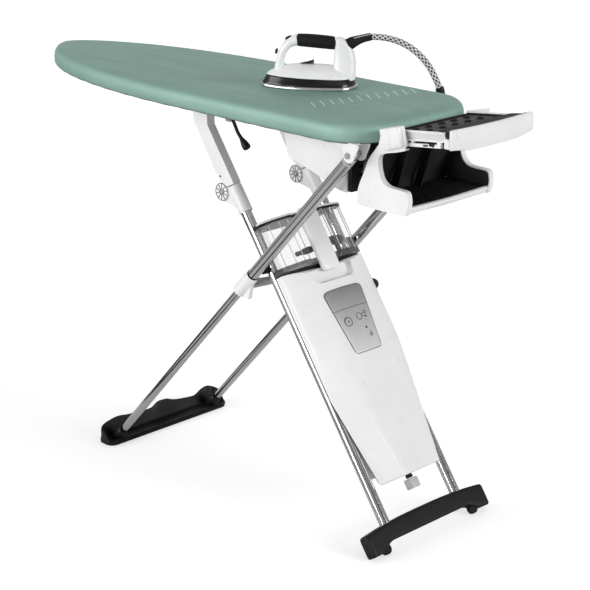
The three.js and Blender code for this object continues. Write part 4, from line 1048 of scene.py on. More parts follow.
def make_panel():
    rows, columns = 60, 41
    grid = []
    for s in steps(PANEL_BOTTOM, PANEL_TOP, rows):
        t = (s - PANEL_BOTTOM) / (PANEL_TOP - PANEL_BOTTOM)
        corner = 12 if t > 0.5 else 5
        near_end = max(0.0, corner - min(s - PANEL_BOTTOM, PANEL_TOP - s))
        half = mix(*PANEL_HALVES, t) - (corner - math.sqrt(max(0.0, corner**2 - near_end**2)))
        bow = 3.0 * (t - 0.35)
        grid.append([(y, s + bow * (1 - (y / 62) ** 2)) for y in steps(-half, half, columns)])
    verts, faces = [], []
    for r, row in enumerate(grid):
        for c, (y, s) in enumerate(row):
            edge = r in (0, rows - 1) or c in (0, columns - 1)
            verts.append(on_cover(y, s, 1.0 if edge else 1.6))
    for r in range(rows - 1):
        for c in range(columns - 1):
            a = r * columns + c
            faces.append((a, a + 1, a + columns + 1, a + columns))
    loop = [*range(columns), *[r * columns + columns - 1 for r in range(1, rows)],
            *[(rows - 1) * columns + c for c in range(columns - 2, -1, -1)],
            *[r * columns for r in range(rows - 2, 0, -1)]]
    base = len(verts)
    flat = [p for row in grid for p in row]
    verts += [on_cover(*flat[i], -0.6) for i in loop]
    for k, i in enumerate(loop):
        after = (k + 1) % len(loop)
        faces.append((i, loop[after], base + after, base + k))
    verts.append(on_cover(0, 524, -0.6))
    faces += [(len(verts) - 1, base + k, base + (k + 1) % len(loop)) for k in range(len(loop))]
    for_node("control_panel", "control_panel_look", verts, faces, "panel", 50)

    def line(points, radius=0.5):
        return tube([on_cover(y, s, 1.62) for y, s in points], radius, 8)

    def ring_at(y, s, radius, count=28):
        return [(y + radius * math.cos(a), s + radius * math.sin(a)) for a in steps(0, 2 * math.pi, count)]

    border = []
    for k in loop[:: 2] + [loop[0]]:
        border.append(on_cover(*flat[k], 0.5))
    build("panel_edge_line", *tube(border, 1.0, 8), "ink", "frame_a", "panel")
    divider = [(y, 552 + 1.2 * (1 - (y / 54) ** 2)) for y in steps(-54.5, 54.5, 25)]
    build("panel_divider", *line(divider, 0.6), "ink", "frame_a", "panel")
    marks = [
        line(ring_at(BUTTON_Y, BUTTON_S, 10.9), 0.8),
        line(ring_at(12, 527, 8.2), 0.75),
        line([(19, 530), (33, 532)], 0.75), line([(19, 524.5), (33, 524.5)], 0.75),
        line([(29, 537.5), (36.5, 533.5), (33.5, 528)], 1.0), line([(31, 520), (34, 523.5)], 1.5),
        line([(17.5, 499), (20.5, 495)], 2.0), line([(19, 501), (21.5, 497)], 1.0),
        line([(21, 479), (25.5, 483.5), (29.5, 479), (25, 474), (21, 479)], 1.0),
             line([(28, 484), (29, 487)], 0.9),
    ]
    build("panel_marks", *together(*marks), "ink", "frame_a", "panel")
    top = gen_front(BUTTON_Y, BUTTON_S)
    face = spun(on_a(top - 6, BUTTON_Y, BUTTON_S), on_a(top, BUTTON_Y, BUTTON_S),
                [(0, 9.4), (7.8, 9.4), (8.8, 9.1), (9.4, 8.4), (9.3, 5), (9.2, 0.2)], 40)
    for_node("start_button", "start_button_look", *face, "panel", 40)
    dot = spun(on_a(top + 3.05, BUTTON_Y, BUTTON_S), on_a(top + 5, BUTTON_Y, BUTTON_S),
               [(0, 2.2), (0.5, 2.2), (0.7, 1.6)], 20)
    build("start_button_dot", *dot, "ink", "start_key", "panel")


# ---- Water tank -------------------------------------------------------------------------------------
HANDLE_SPAN = (652, 812)  # the tank's handle, up the tubes
TANK_BOTTOM, TANK_TOP, TANK_HALF, TANK_FRONT, TANK_REAR_HALF, TANK_REAR = 677, 797, 134, 56, 104, -25


def tank_plan(inset, count=49):
    """The tank's outline: a bowed front with a dip behind the handle, and a narrower rear."""
    wide = TANK_HALF - inset
    front = []
    for share in steps(-1, 1, count):
        y = wide * math.sin(math.pi / 2 * share)
        n = SIDE_N + (TANK_FRONT - SIDE_N) * (1 - abs(y / wide) ** 2.4) ** 0.62
        dip = smoothstep(46, 40, abs(y))
        front.append((mix(n, 45.6, dip) - inset, y))
    step, rear = 14.5 + inset, TANK_REAR_HALF - inset
    back = TANK_REAR + inset
    return [*front, (step, wide), (step, rear), (back + 8, rear), (back, rear - 8), (back, 8 - rear),
            (back + 8, -rear),
            (step, -rear), (step, -wide)]


def tank_rings(levels):
    """The tank's outline at each (height up the tubes, inset)."""
    return [[on_a(n, y, s) for n, y in tank_plan(inset)] for s, inset in levels]


def make_tank():
    outer = [(TANK_BOTTOM, 4), (TANK_BOTTOM, 1.5), (TANK_BOTTOM + 1.5, 0), (TANK_TOP, 0)]
    inner = [(TANK_TOP, 2.5), (TANK_BOTTOM + 5, 2.5), (TANK_BOTTOM + 4, 4)]
    for_node("tank_shell", "tank_wall", *skin(tank_rings(outer + inner)), "clear", 40)
    ribs = []
    for y in (-112, -84, -60, 62, 92, 116):
        n = SIDE_N + (TANK_FRONT - SIDE_N) * (1 - abs(y / TANK_HALF) ** 2.4) ** 0.62 - 2.6
        ribs.append(tube([on_a(n, y, s) for s in steps(TANK_BOTTOM + 8, TANK_TOP - 2, 8)], 1.0, 8))
    build("tank_ribs", *together(*ribs), "pale", "water_tank", "clear_plastic")
    # Painted shade: dark lines where the clear walls turn.
    edges = []
    for n, y in ((27, -133.6), (27, 133.6), (54, -46), (54, 46)):
        edges.append(tube([on_a(n, y, s) for s in steps(TANK_BOTTOM + 1, TANK_TOP, 6)], 0.8, 8))
    build("tank_edge_shade", *together(*edges), "smoke", "water_tank", "clear_plastic")
    band = [(TANK_BOTTOM + 0.8, 0.5), (TANK_BOTTOM + 0.8, -0.5), (TANK_BOTTOM + 2, -0.9),
            (TANK_BOTTOM + 13, -0.9), (TANK_BOTTOM + 14, -0.3),
            (TANK_BOTTOM + 14, 0.5)]
    build("tank_base_band", *closed_band(tank_rings(band)), "smoke", "water_tank", "clear_plastic", 40)
    lid = [(TANK_TOP + 0.3, 1), (TANK_TOP + 0.3, 0), (TANK_TOP + 2, -0.8), (TANK_TOP + 8.5, -0.8),
           (TANK_TOP + 10.3, 0.4), (TANK_TOP + 11, 2.2)]
    for_node("tank_lid", "tank_lid_look", *skin(tank_rings(lid)), "gloss", 40)
    # A white line along the black lid's top edge is a painted highlight.
    rim = [on_a(n + 0.2, y * 1.002, TANK_TOP + 8.4) for n, y in tank_plan(-0.2)[:49]]
    build("tank_lid_highlight", *tube(rim, 2.4, 10), "white", "water_tank", "black_plastic")

    valve = spun(on_a(24, 62, 725), on_a(24, 99, 721),
                 [(0, 6), (1, 9.5), (8, 10.6), (9, 8.6), (11, 8.6), (12, 11.2), (20, 11.6), (21, 9.4),
                 (23, 9.4), (24, 12), (33, 12), (35, 10.5), (36, 6)], 28)
    foot = spun(on_a(24, 80, TANK_BOTTOM + 4.3), on_a(24, 80, 722),
                [(0, 9.5), (2, 9.5), (3, 6.4), (38, 6.4)], 24)
    for_node("tank_valve", "tank_valve_look", *together(valve, foot), "black", 40)
    floater = spun(on_a(20, -50, 716), on_a(20, 12, 719),
                   [(0, 3), (1, 5.4), (5, 6.2), (9, 5.2), (10, 4.2), (14, 5.6), (28, 7.8), (44, 8.2),
                    (58, 6.4), (62, 4)], 24)
    arm = spun(on_a(20, 10, 719), on_a(24, 62, 724), [(0, 3.4), (50, 3.4)], 16)
    build("tank_float", *together(floater, arm), "black", "water_tank", "black_plastic")

    rings = []
    low, high = HANDLE_SPAN
    for s in sorted({*steps(low, low + 14, 10), *steps(low + 14, high - 14, 16),
                     *steps(high - 14, high, 10)}):
        end = min(s - low, high - s)
        t = min(1.0, end / 13)
        share = math.sqrt(max(0.0, 1 - (1 - t) ** 2))
        along = (s - low) / (high - low)
        half = mix(26, 29, along) * mix(0.5, 1, share)
        thick = 9.5 * mix(0.45, 1, math.sqrt(share))
        middle = 56.5 + 1.5 * math.sin(math.pi * (s - low) / (high - low))
        ring = []
        for a in turns(40):
            depth = squared(math.sin(a), 0.62) * (1.0 if math.sin(a) > 0 else 0.95)
            ring.append(on_a(middle + thick * depth, half * squared(math.cos(a), 0.5), s))
        rings.append(ring)
    for_node("tank_handle", "tank_tongue", *skin(rings), "white", 50)


# ---- Front legs -------------------------------------------------------------------------------------
def spoked_face(name, place, body, slot):
    """The ribbed round face of a folding knuckle; place(u, v, w) has w out of the face."""
    parts = []
    for outer, inner, low, high in ((21.4, 19.9, 0, 0.6), (7.4, 6.2, 0, 0.6)):
        turn = steps(0, 2 * math.pi, 45)[:-1]
        corners = ((inner, low), (outer, low), (outer, high), (inner, high))
        parts.append(closed_band([[place(r * math.cos(a), r * math.sin(a), w) for a in turn] for r,
                                  w in corners]))
    for i in range(10):
        a = 2 * math.pi * (i + 0.5) / 10
        c, k = math.cos(a), math.sin(a)
        parts.append(prism([(7, -0.8), (20.4, -0.8), (20.4, 0.8), (7, 0.8)],
                           lambda u, v, w, c=c, k=k: place(u * c - v * k, u * k + v * c, w), 0, 0.5))
    build(f"{name}_ribs", *together(*parts), "ink", body, slot)
    hub = spun(place(0, 0, -0.2), place(0, 0, 3),
               [(0, 5.4), (0.9, 5.4), (1.6, 4.8), (1.9, 3.4), (1.3, 2.6), (1.3, 0.1)], 24)
    build(f"{name}_hub", *hub, "steel", body, slot)


def make_frame_a():
    for name, sign in SIDES.items():
        y = sign * A_TUBE_Y
        bore = hollow_tube(on_a(0, y, 50), on_a(0, y, 869), 12.5, 10.9, 48)
        for_node(f"leg_a_{name}", f"front_tube_{name}", *bore, "chrome", 40)
        refined(f"leg_a_sleeve_{name}", "white", 1.4, 3)
        refined(f"arm_{name}", "white", 1.8, 3)
        for face in (-1, 1):
            def place(u, v, w, face=face, y=y):
                return on_a(-38 + u, y + face * (10 + w), 920 + v)
            spoked_face(f"knuckle_{name}_{'outer' if face == sign else 'inner'}", place, "frame_a",
                        "white_plastic")
            at = on_a(-18, y + face * 12.1, 952)
            rivet = spun(at, at + Vector((0, face, 0)), [(0, 2.6), (0.8, 2.6), (1.3, 1.6)], 16)
            build(f"arm_rivet_{name}_{'outer' if face == sign else 'inner'}", *rivet, "ink", "frame_a",
                  "steel")
        washer = spun(on_b(0, sign * 146.9, B_CROSS), on_b(0, sign * 134.2, B_CROSS),
                      [(0, 12), (1, 14.5), (3.5, 14.5), (4.2, 12), (8, 12), (8.8, 15), (11.6, 15),
                       (12.6, 12.5)], 32)
        build(f"crossing_washer_{name}", *washer, "black", "frame_b", "chrome")


WHEEL_Y, WHEEL_S = 150, 17.5


def make_front_foot():
    """The arched foot bar with its two wheels."""
    half = 200
    under = [(0, 28.5), (60, 28.5), (110, 28.5), (126, 28.2), (136, 26), (146, 22), (156, 16.5), (166, 12),
             (176, 10.4), (200, 10)]
    rings = []
    for y in sorted({*steps(-half, -188, 8), *steps(-188, 188, 65), *steps(188, half, 8)}):
        top = 73 - 11 * abs(y / half) ** 2.6
        bottom = along_table(under, abs(y))[0]
        share = rounded_end(y, half, 7)
        deep = 15 * mix(0.62, 1, share)
        tall, middle = (top - bottom) / 2 * mix(0.86, 1, share), (top + bottom) / 2
        ring = []
        for a in turns(32, 0.5):
            point = on_a(deep * squared(math.cos(a), 0.30), y, middle + tall * squared(math.sin(a), 0.30))
            point.z = max(point.z, 0.0)
            ring.append(point)
        rings.append(ring)
    for_node("foot_a", "front_foot", *skin(rings), "black", 45)
    for name, sign in SIDES.items():
        start, end = on_a(-6, sign * WHEEL_Y, WHEEL_S), on_a(8, sign * WHEEL_Y, WHEEL_S)
        profile = [(0, 8), (0.4, 11.6), (1.6, 12.8), (5, 13), (6, 12.7), (8, 12.7), (9, 13), (12.4, 12.8),
                   (13.6, 11.6),
                   (14, 9.4), (13.2, 8.8), (13.0, 6), (13.4, 4.4), (14.4, 4.0), (14.8, 2.6), (14.9, 0.1)]
        for_node(f"wheel_{name}", f"wheel_{name}_look", *spun(start, end, profile, 36), "rubber", 40)
        spokes = []
        for a in turns(5):
            def at(u, v, w, sign=sign, c=math.cos(a), k=math.sin(a)):
                return on_a(w, sign * WHEEL_Y + u * c - v * k, WHEEL_S + u * k + v * c)
            spokes.append(block(at, 3.6, 9.0, -0.7, 0.7, 6.5, 7.3))
        build(f"wheel_spokes_{name}", *together(*spokes), "gloss", f"wheel_{name[0]}", "rubber")


# ---- Rear legs --------------------------------------------------------------------------------------
def make_frame_b():
    for name, sign in SIDES.items():
        y = sign * B_TUBE_Y
        lower = hollow_tube(on_b(0, y, 62), on_b(0, y, 712), 10, 8.4, 44)
        for_node(f"leg_b_lower_{name}", f"rear_tube_{name}", *lower, "chrome", 40)
        sleeve = spun(on_b(0, y, 706), on_b(0, y, 772),
                      [(0, 10.4), (0, 15.4), (1.2, 16.6), (4, 17), (40, 16.6), (60, 15.8), (64.6, 15.2),
                       (66, 14), (66, 10.4)], 44)
        fin = prism(rounded([(9, 711), (31, 716), (33, 722), (16, 752), (9, 756)], 4), sideways(on_b),
                    y - 5.5, y + 5.5)
        collar = for_node(f"leg_b_collar_{name}", f"rear_collar_{name}", *together(sleeve, fin), "white", 40)
        bevelled(collar, 1.0)
        upper = hollow_tube(on_b(0, y, 772.3), on_b(0, y, 1205), 13.5, 11.9, 48)
        lug = prism(rounded([(-11, 1190), (11, 1190), (11, 1228), (6, 1243), (-6, 1243), (-11, 1228)], 6),
                    sideways(on_b), y - 6.8, y + 6.8)
        pin = spun(on_b(0, sign * 150, B_CROSS), on_b(0, sign * 124.4, B_CROSS),
                   [(0, 5), (25, 5), (25.6, 4.2)], 24)
        for_node(f"leg_b_upper_{name}", f"rear_upper_tube_{name}", *together(upper, lug, pin), "chrome", 40)
        plug = spun(on_b(0, y, 1200), on_b(0, y, 1212),
                    [(0, 12.4), (5.4, 12.4), (5.4, 13.4), (8, 13.4), (9.6, 12)], 36)
        build(f"tube_plug_{name}", *plug, "grey", "frame_b", "grey_plastic")
        ring = spun(on_b(0, y, 771.2), on_b(0, y, 776),
                    [(0, 12), (0, 14.2), (0.6, 14.7), (4, 14.7), (4.8, 13.7)], 40)
        build(f"tube_end_ring_{name}", *ring, "black", "frame_b", "black_plastic")
    refined("cross_plate", "grey", 1.4, 3)
    heads = []
    for y in (-128, 128):
        for face in (1, -1):
            heads.append(spun(on_b(face * 4.8, y, 727), on_b(face * 9, y, 727),
                              [(0, 4.4), (1.2, 4.4), (2.0, 3.2), (2.2, 1)], 18))
    build("cross_plate_rivets", *together(*heads), "steel", "frame_b", "steel")


REAR_CREST = [
    (-203, 22), (-197, 30), (-186, 40), (-172, 46), (-144, 51), (-125, 50.5), (-105, 47), (-70, 44),
              (-40, 42),
    (-22, 42.5), (-12, 47), (-2, 53), (15, 54.5), (33, 52.5), (50, 46), (65, 42), (100, 37), (128, 35),
              (140, 39),
    (152, 45.5), (168, 50), (185, 48), (203, 36),
]


def make_rear_foot():
    """The rear foot: a floor tray whose wall rises in three humps and runs round both ends."""
    half, x0, x1, corner = 203, -322, -264, 24
    plan = rounded([(x0, -half), (x1, -half), (x1, half), (x0, half)], corner, 12)
    base = prism(plan, on_board, 0, 10)
    rim = prism(rounded([(x1 - 6, -half + 14), (x1, -half + 14), (x1, half - 14), (x1 - 6, half - 14)], 2),
                on_board, 8, 13)
    near, far = along_table(REAR_CREST, -half + corner)[0], along_table(REAR_CREST, half - corner)[0]
    path = []
    for t in steps(0, 1, 10):
        path.append((mix(x1 - 10, x0 + corner, t), -half + 4.0, mix(12, near - 12, smoothstep(0, 1, t))))
    for t in steps(0, 1, 9)[1:-1]:
        a = math.pi / 2 * t
        path.append((x0 + corner - (corner - 4) * math.sin(a), -half + corner - (corner - 4) * math.cos(a),
                     mix(near - 12, near, t)))
    for y in steps(-half + corner, half - corner, 80):
        path.append((x0 + 4.0, y, along_table(REAR_CREST, y)[0]))
    for t in steps(0, 1, 9)[1:-1]:
        a = math.pi / 2 * t
        path.append((x0 + corner - (corner - 4) * math.cos(a), half - corner + (corner - 4) * math.sin(a),
                     mix(far, far - 10, t)))
    for t in steps(0, 1, 10):
        path.append((mix(x0 + corner, x1 - 10, t), half - 4.0, mix(far - 10, 12, smoothstep(0, 1, t))))
    rings = []
    for i, (x, y, z) in enumerate(path):
        way = heading(path, i)
        out = Vector((-way.y, way.x))
        ring = []
        for across, height in ((-3.6, 2), (-3.6, z - 4), (-3.0, z - 1.6), (-1.4, z - 0.2), (1.4, z - 0.2),
                               (3.0, z - 1.6), (3.8, z - 4),
                               (6, mix(z, 12, 0.5)), (10, 11.5), (16, 9), (16, 2)):
            ring.append(on_board(x - out.x * across, y - out.y * across, height))
        rings.append(ring)
    wall = skin(rings)
    cups = []
    for sign in (-1, 1):
        y = sign * B_TUBE_Y
        verts, faces = spun(on_b(0, y, 8), on_b(0, y, 80),
                            [(0, 17), (22, 16), (36, 14.6), (42, 13), (44, 12), (44, 10.4)], 32)
        for v in verts:
            v.z = max(v.z, 0.004)
        cups.append((verts, faces))
    foot = for_node("foot_b", "rear_foot", *together(base, rim, wall, *cups), "black", 45)
    bevelled(foot, 1.2)


LEVER_Y = -150


def make_lever():
    """The thin height lever with its bulb grip."""
    bends = [(150, 921), (156, 911), (163, 899), (169, 889.5), (173, 885), (177, 881), (181, 877),
             (185, 873), (189, 869),
             (193, 865), (197, 861), (200, 858), (201.6, 856.4)]
    path = smooth_route([on_board(x, LEVER_Y, z) for x, z in bends], 3)
    table = [(0, 4), (0.38, 4), (0.46, 4.3), (0.54, 5.4), (0.64, 7.4), (0.76, 9.0), (0.88, 9.2), (0.96, 7.2),
             (1, 3.0)]
    radii = [along_table(table, t)[0] for t in steps(0, 1, len(path))]
    rod = tube(path, radii, 24)
    eye = spun(on_board(150, LEVER_Y - 8, 921), on_board(150, LEVER_Y + 8, 921),
               [(0, 6), (0.8, 7), (15.2, 7), (16, 6)], 28)
    for_node("height_lever", "height_lever_look", *together(rod, eye), "black", 45)
    pin = spun(on_board(150, LEVER_Y - 14.6, 921), on_board(150, LEVER_Y + 14.6, 921),
               [(0, 4.2), (1.4, 4.2), (1.4, 2.4), (27.8, 2.4), (27.8, 4.2), (29.2, 4.2)], 20)
    build("lever_pin", *pin, "steel", "board", "steel")


# ---- Blower under the heel --------------------------------------------------------------------------
def make_blower():
    """A hollow housing with a rounded side profile and a window in its heel-side face."""
    outer = [(292, 937.5), (304, 852), (345, 842), (400, 826), (462, 806), (486, 803), (486, 937.5)]
    inner = [(296, 936), (308, 856), (347, 846), (402, 830), (463, 810), (482, 807), (482, 936)]
    half, window, sill, head = 128, 104, 822, 902

    def section(points):
        curve = rounded(points, [1, 9, 14, 20, 16, 5, 1], 8)
        face_x = max(x for x, _ in curve)
        top = [p for p in curve if p[1] > 930 and p[0] > 400]
        curve = [p for p in curve if p not in top]
        return [*curve, (face_x, sill), (face_x, head), *top], len(curve)

    levels = [(-half, 5), (-half + 0.7, 2.4), (-half + 2.2, 0.7), (-half + 5, 0), (-window, 0), (0, 0)]
    levels += [(-y, inset) for y, inset in reversed(levels[:-1])]
    shells = []
    for points, depth in ((outer, 0), (inner, 4)):
        curve, at = section(points)
        middle = (sum(p[0] for p in curve) / len(curve), sum(p[1] for p in curve) / len(curve))
        rings = []
        for y, inset in levels:
            ring = []
            for x, z in curve:
                away = Vector((middle[0] - x, middle[1] - z))
                away = away.normalized() * inset * (0.0 if z > 930 else 1.0)
                ring.append(on_board(x + away.x, y * (half - depth) / half, z + away.y))
            rings.append(ring)
        verts, faces = skin(rings)
        count = len(curve)
        gap = {(r * count + at,
                r * count + at + 1) for r in range(len(levels)) if abs(levels[r][0]) <= window}
        inside = {i for pair in gap for i in pair}
        shells.append((verts, [f for f in faces if not (len(f) == 4 and all(i in inside for i in f))]))
    (verts, faces), (back, more) = shells
    rows = [r for r in range(len(levels)) if abs(levels[r][0]) <= window]
    loop = [r * count + at for r in rows] + [r * count + at + 1 for r in reversed(rows)]
    shift = len(verts)
    faces = faces + [tuple(i + shift for i in f) for f in more]
    for k, i in enumerate(loop):
        after = loop[(k + 1) % len(loop)]
        faces.append((i, after, after + shift, i + shift))
    for_node("blower_housing", "blower_shell", verts + back, faces, "white", 40)
    refined("blower_grille", "black", 1.2, 3)
    refined("blower_motor", "steel", 1.5, 3)
    refined("blower_fan", "black", 0.4)
    for i, (x, z) in enumerate(((322, 925), (470, 925))):
        for name, sign in SIDES.items():
            screw(on_board(x, sign * half, z), Vector((0, sign, 0)), 3.2, f"blower_screw_{name}_{i}")


# ---- Storage compartment ----------------------------------------------------------------------------
SIDE_HALF = 140


def soft_line(points, count=5):
    """A smooth curve through points of (x, z)."""
    return [(p.x, p.z) for p in smooth_route([Vector((x, 0, z)) for x, z in points], count)]


def strip(points, width, y0, y1):
    """A band of the given width beside a line of (x, z), as deep as from y0 to y1."""
    rings = []
    for i, (x, z) in enumerate(points):
        way = heading(points, i)
        out = (x - way.y * width, z + way.x * width)
        rings.append([on_board(x, y0, z), on_board(x, y1, z), on_board(out[0], y1, out[1]),
                      on_board(out[0], y0, out[1])])
    return skin(rings)


def make_compartment():
    back = [(528, 793), (534, 828), (547, 858), (564, 896), (580, 917), (590.5, 930)]
    opening = [(664, 932.5), (645, 926.5), (622, 921), (606, 916.5), (596, 912.5), (590, 907), (587.2, 899),
               (587.6, 886), (590, 872),
               (594.5, 860), (602, 850), (612, 843.5), (622, 841), (642, 840), (658, 839.6), (667, 838.6),
               (670.6, 835), (672, 830),
               (673.4, 821), (673, 813), (671.4, 806), (668.4, 798), (665, 791)]
    base = [(661, 789), (640, 788.6), (600, 788.8), (560, 789.4), (536, 790)]
    side = [*soft_line(back, 6), (598, 962), (658, 976), (666, 950), *soft_line(opening, 6), *base]
    pieces = []
    for sign in (-1, 1):
        wall = prism(side, sideways(on_board, sign), SIDE_HALF - 4, SIDE_HALF)
        rim = strip(soft_line(opening, 6), 3.2, sign * (SIDE_HALF + 0.4), sign * (SIDE_HALF - 13))
        pieces += [wall, rim]
        rings = []
        for t in (0, 0.02, 0.05, 0.15, 0.3, 0.5, 0.7, 0.88, 0.95, 0.985, 1.0):
            close = 2.2 * smoothstep(0.94, 1.0, t) ** 2 + 1.6 * smoothstep(0.05, 0.0, t) ** 2
            deep = mix(11, 14.5, smoothstep(0, 0.2, t)) - close
            low, high = (mix(611, 601, t) + close, mix(921, 967, t)), (mix(664, 651, t) - close,
                                                                       mix(937, 979, t))
            if sign > 0:  # the far column ends lower, to match the photo's view
                low, high = (low[0], min(low[1], 950 + 6 * t)), (high[0], min(high[1], 958 + 6 * t))
            outline = []
            for k in range(41):
                u = k / 40
                flute = 1.7 * math.cos(2 * math.pi * (u * 2.6 + 0.06)) * smoothstep(0.0, 0.2, t)
                end = min(u, 1 - u) * 58
                soft = 5.5 * (1 - math.sqrt(max(0.0, 1 - (1 - min(1, end / 6)) ** 2)))
                y = SIDE_HALF - 0.5 + max(0.2, deep + flute - 2 - soft)
                outline.append(on_board(mix(low[0], high[0], u), sign * y, mix(low[1], high[1], u)))
            outline += [on_board(high[0], sign * 129, high[1]), on_board(low[0], sign * 129, low[1])]
            rings.append(outline)
        pieces.append(skin(rings))
    # The floor and the sloping back are one thick profile.
    inner = [(640, 799), (600, 799.4), (560, 800), (533, 800), (538, 828), (551, 857), (568, 895), (590, 924)]
    floor = [*soft_line(back, 4), *reversed(soft_line(inner[3:], 4)), *reversed(inner[:3]), (668, 798),
             (668, 791), *base]
    pieces.append(prism(floor, sideways(on_board), -SIDE_HALF + 2, SIDE_HALF - 2))
    rings = []
    for y in steps(-SIDE_HALF + 3, SIDE_HALF - 3, 41):
        bow = 9 * (1 - (y / SIDE_HALF) ** 2)
        lip = [(654, 787.5), (664, 789.5), (672, 794.5), (675.5, 800), (675.5, 805), (672.5, 806.4),
               (668, 806.2), (666, 802), (656, 800)]
        rings.append([on_board(x - 6 + bow * 0.8, y, z) for x, z in lip])
    pieces.append(skin(rings))
    shell = for_node("compartment_shell", "compartment_walls", *together(*pieces), "white", 36)
    bevelled(shell, 1.0, 2, 50)
    seam = [on_board(674, 0, z) for z in (806.5, 803, 799)]
    build("compartment_front_seam", *tube(seam, 0.5, 6), "grey", "board", "white_plastic")

    lining = []
    half = SIDE_HALF - 4.4
    lined = [(538, 806), (541, 829), (554, 858), (571, 896), (590, 918), (590, 905)]
    cut = [(588.4, 898), (590.8, 872), (603, 848), (622, 837.4), (640, 837), (662, 837), (668, 833),
           (669.6, 820), (666, 804)]
    cheek = [*soft_line(lined, 4), *soft_line(cut, 5), (560, 803)]
    for sign in (-1, 1):
        lining.append(prism(cheek, sideways(on_board, sign), half - 2.6, half))
    panel = soft_line([(534.5, 802), (539, 828), (552, 857), (569, 895), (589, 921)], 5)
    lining.append(strip(panel, -2.4, -half, half))
    lining.append(block(on_board, 536, 668.5, -half, half, 800.5, 803.2))
    for i in range(22):
        y = -118 + i * 11.2
        rib = rounded([(y - 1.6, 803), (y + 1.6, 803), (y + 1.2, 805.2), (y - 1.2, 805.2)], 0.7, 3)
        lining.append(prism(rib, lambda u, v, w: on_board(w, u, v), 548, 662))
    brace = [(541, 804), (562, 804), (600, 915), (578, 915)]
    for y in (-52, 30):
        lining.append(prism(brace, sideways(on_board), y, y + 5))
    liner = for_node("compartment_liner", "compartment_lining", *together(*lining), "liner", 36)
    bevelled(liner, 0.7, 2, 50)
    refined("compartment_bracket", "dark_steel", 0.8)
    for name, sign in SIDES.items():
        for i, (x, z) in enumerate(((520, 911.5), (548, 893))):
            screw(on_board(x, sign * 132, z), Vector((0, sign, 0)), 3.4, f"bracket_screw_{name}_{i}")


# ---- Iron rest --------------------------------------------------------------------------------------
REST_HALF, REST_BACK, REST_LENGTH, MAT_FRONT = 118, -20, 158, 98
BAND_HALF, BAND_TOP = 134, 989


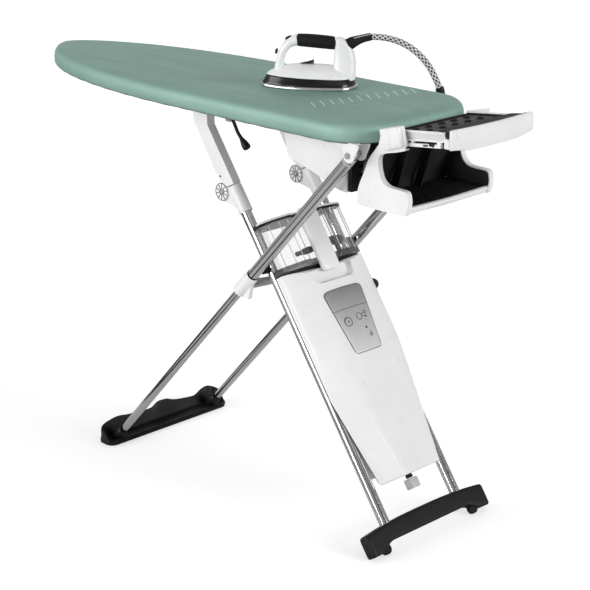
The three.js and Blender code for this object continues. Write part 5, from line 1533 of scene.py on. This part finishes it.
def make_rest():
    """The iron's tray at the heel: rim, studded mat, side rails and a bowed front band."""
    x0, x1 = REST_BACK, REST_LENGTH - 22
    rim = []
    for outline, low, high in (
        ([(x0, -REST_HALF), (x1, -REST_HALF), (x1, REST_HALF), (x0, REST_HALF)], -14, -11),
        ([(x0, -REST_HALF), (x0 + 5, -REST_HALF), (x0 + 5, REST_HALF), (x0, REST_HALF)], -12, -2),
        ([(MAT_FRONT, -REST_HALF), (x1, -REST_HALF), (x1, REST_HALF), (MAT_FRONT, REST_HALF)], -12, 2.4),
        ([(x1 - 5, -REST_HALF), (x1, -REST_HALF), (x1, REST_HALF), (x1 - 5, REST_HALF)], -4, 2.4),
        ([(x0, -REST_HALF), (x1, -REST_HALF), (x1, -REST_HALF + 5), (x0, -REST_HALF + 5)], -12, -1.5),
        ([(x0, REST_HALF - 5), (x1, REST_HALF - 5), (x1, REST_HALF), (x0, REST_HALF)], -12, -1.5),
    ):
        rim.append(prism(outline, on_rest, low, high))
    bevelled(for_node("rest_pan", "rest_tray", *together(*rim), "rubber", 36), 1.2, 3)
    m0, m1, wide = x0 + 5.3, MAT_FRONT - 0.3, REST_HALF - 5.3
    mat = prism(rounded([(m0, -wide), (m1, -wide), (m1, wide), (m0, wide)], 6), on_rest, -10.7, -6)
    ribs = []
    for i in range(46):
        y = -110 + i * 4.9
        ribs.append(block(on_rest, m0 + 4, m1 - 4, y - 0.7, y + 0.7, -6.2, -5.7))
    bevelled(for_node("rest_mat", "rest_mat_look", *together(mat, *ribs), "mat", 36), 0.5)
    pads = []
    pad = [(0, 8.2), (1.5, 8.0), (3.6, 7.2), (4.8, 6.2), (5.4, 4.6), (5.2, 2.6), (4.4, 1.6)]
    for x in (11, 49):
        for i in range(5):
            y = -90 + i * 41
            pads.append(spun(on_rest(x, y, -6.4), on_rest(x, y, 0), pad, 24))
    build("rest_pads", *together(*pads), "rubber", "iron_rest", "rubber")
    for name, sign in SIDES.items():
        y0, y1 = sign * (REST_HALF + 0.3), sign * (REST_HALF + 8)
        across = sideways(on_rest, sign)
        upper = rounded([(x0, -21), (120, -21), (124, -10), (120, 0), (x0, 0)], [1, 10, 8, 10, 1], 6)
        inset = rounded([(x0, -17), (112, -17), (117, -10), (112, -4.4), (x0, -4.4)], [1, 7, 6, 7, 1], 6)
        rail = prism(upper, across, REST_HALF + 0.3, REST_HALF + 4.4)
        lips = []
        for low, high in ((-21, -18.4), (-2.8, 0)):
            lips.append(prism([(x0, low), (112, low), (112, high), (x0, high)], across, REST_HALF + 4,
                              REST_HALF + 8))
        nose = [(112, -21), (116.5, -20), (121, -16), (122.6, -10.5), (121, -5), (116.5, -1), (112, 0),
                (112, -2.8), (115.5, -3.8),
                (118.6, -7), (119.8, -10.5), (118.6, -14), (115.5, -17.4), (112, -18.4)]
        lips.append(prism(nose, across, REST_HALF + 4, REST_HALF + 8))
        y0, y1 = min(y0, y1), max(y0, y1)
        lower = block(on_rest, x0, REST_LENGTH - 50, y0, y1 - (1.5 if sign > 0 else 0), -33, -26)
        posts = []
        for x, wide in ((x0, 6), (28, 6), (98, 10)):
            posts.append(block(on_rest, x, x + wide, y0 + (1 if sign < 0 else 0),
                               y1 - (1 if sign > 0 else 0), -27, -20))
        rail = together(rail, *lips, lower, *posts)
        bevelled(for_node(f"rest_rail_{name}", f"rest_rail_{name}_look", *rail, "white", 40), 0.7, 2, 40)
        # The channel between the rail's lips is painted pale grey: painted shade in the recess.
        channel = prism(inset, across, REST_HALF + 4.2, REST_HALF + 5.2)
        build(f"rail_channel_shade_{name}", *channel, "pale", "iron_rest", "white_plastic")
        proud = sorted((sign * (REST_HALF + 7.6), sign * (REST_HALF + 9)))
        catch = [block(on_rest, 62, 74, *proud, -31, -27.5), block(on_rest, 78, 92, *proud, -30, -23.5),
                 spun(on_rest(88, sign * (REST_HALF + 7), -29), on_rest(88, sign * (REST_HALF + 12), -29),
                      [(0, 2.6), (2.8, 2.6), (3.2, 1.6)], 14)]
        build(f"rail_catch_{name}", *together(*catch), "black", "iron_rest", "black_plastic")
        # A black block at each end of the front band is painted shade in the hollow there.
        shade = block(on_board, 764, 774.5, *sorted((sign * 121, sign * 131)), 972, 985)
        build(f"band_hollow_shade_{name}", *shade, "black", "iron_rest", "black_plastic")

    rings = []
    half = BAND_HALF
    for y in sorted({*steps(-half, -half + 6, 6), *steps(-half + 6, half - 6, 45),
                     *steps(half - 6, half, 6)}):
        front = 782 + 9 * (1 - (y / half) ** 2)
        share = rounded_end(y, half, 6)
        low = mix(947, 941, smoothstep(half, 66, abs(y))) + 4 * (1 - share)
        high = BAND_TOP - 4 * (1 - share)
        thick, soft = 7 * mix(0.55, 1, share), 3.0
        ring = []
        for x, z in ((front - thick, low + 1), (front - thick + 1, low), (front - soft, low),
                     (front - 1, low + 0.9), (front, low + soft),
                     (front + 0.4, (low + high) / 2), (front, high - soft), (front - 1, high - 0.9),
                     (front - soft, high),
                     (front - thick + 1, high), (front - thick, high - 1)):
            ring.append(on_board(x, y, z))
        rings.append(ring)
    band = skin(rings)
    tabs = [block(on_board, 764, 776, *sorted((s * 127, s * 134)), 950, 970) for s in (-1, 1)]
    for_node("rest_front", "rest_front_band", *together(band, *tabs), "white", 40)


# ---- Everything -------------------------------------------------------------------------------------
make_stage()
for maker in (make_hose, make_cover, make_underside, make_iron, make_generator, make_tank, make_frame_a,
              make_frame_b, make_front_foot, make_rear_foot, make_blower, make_compartment, make_rest,
              make_lever):
    maker()
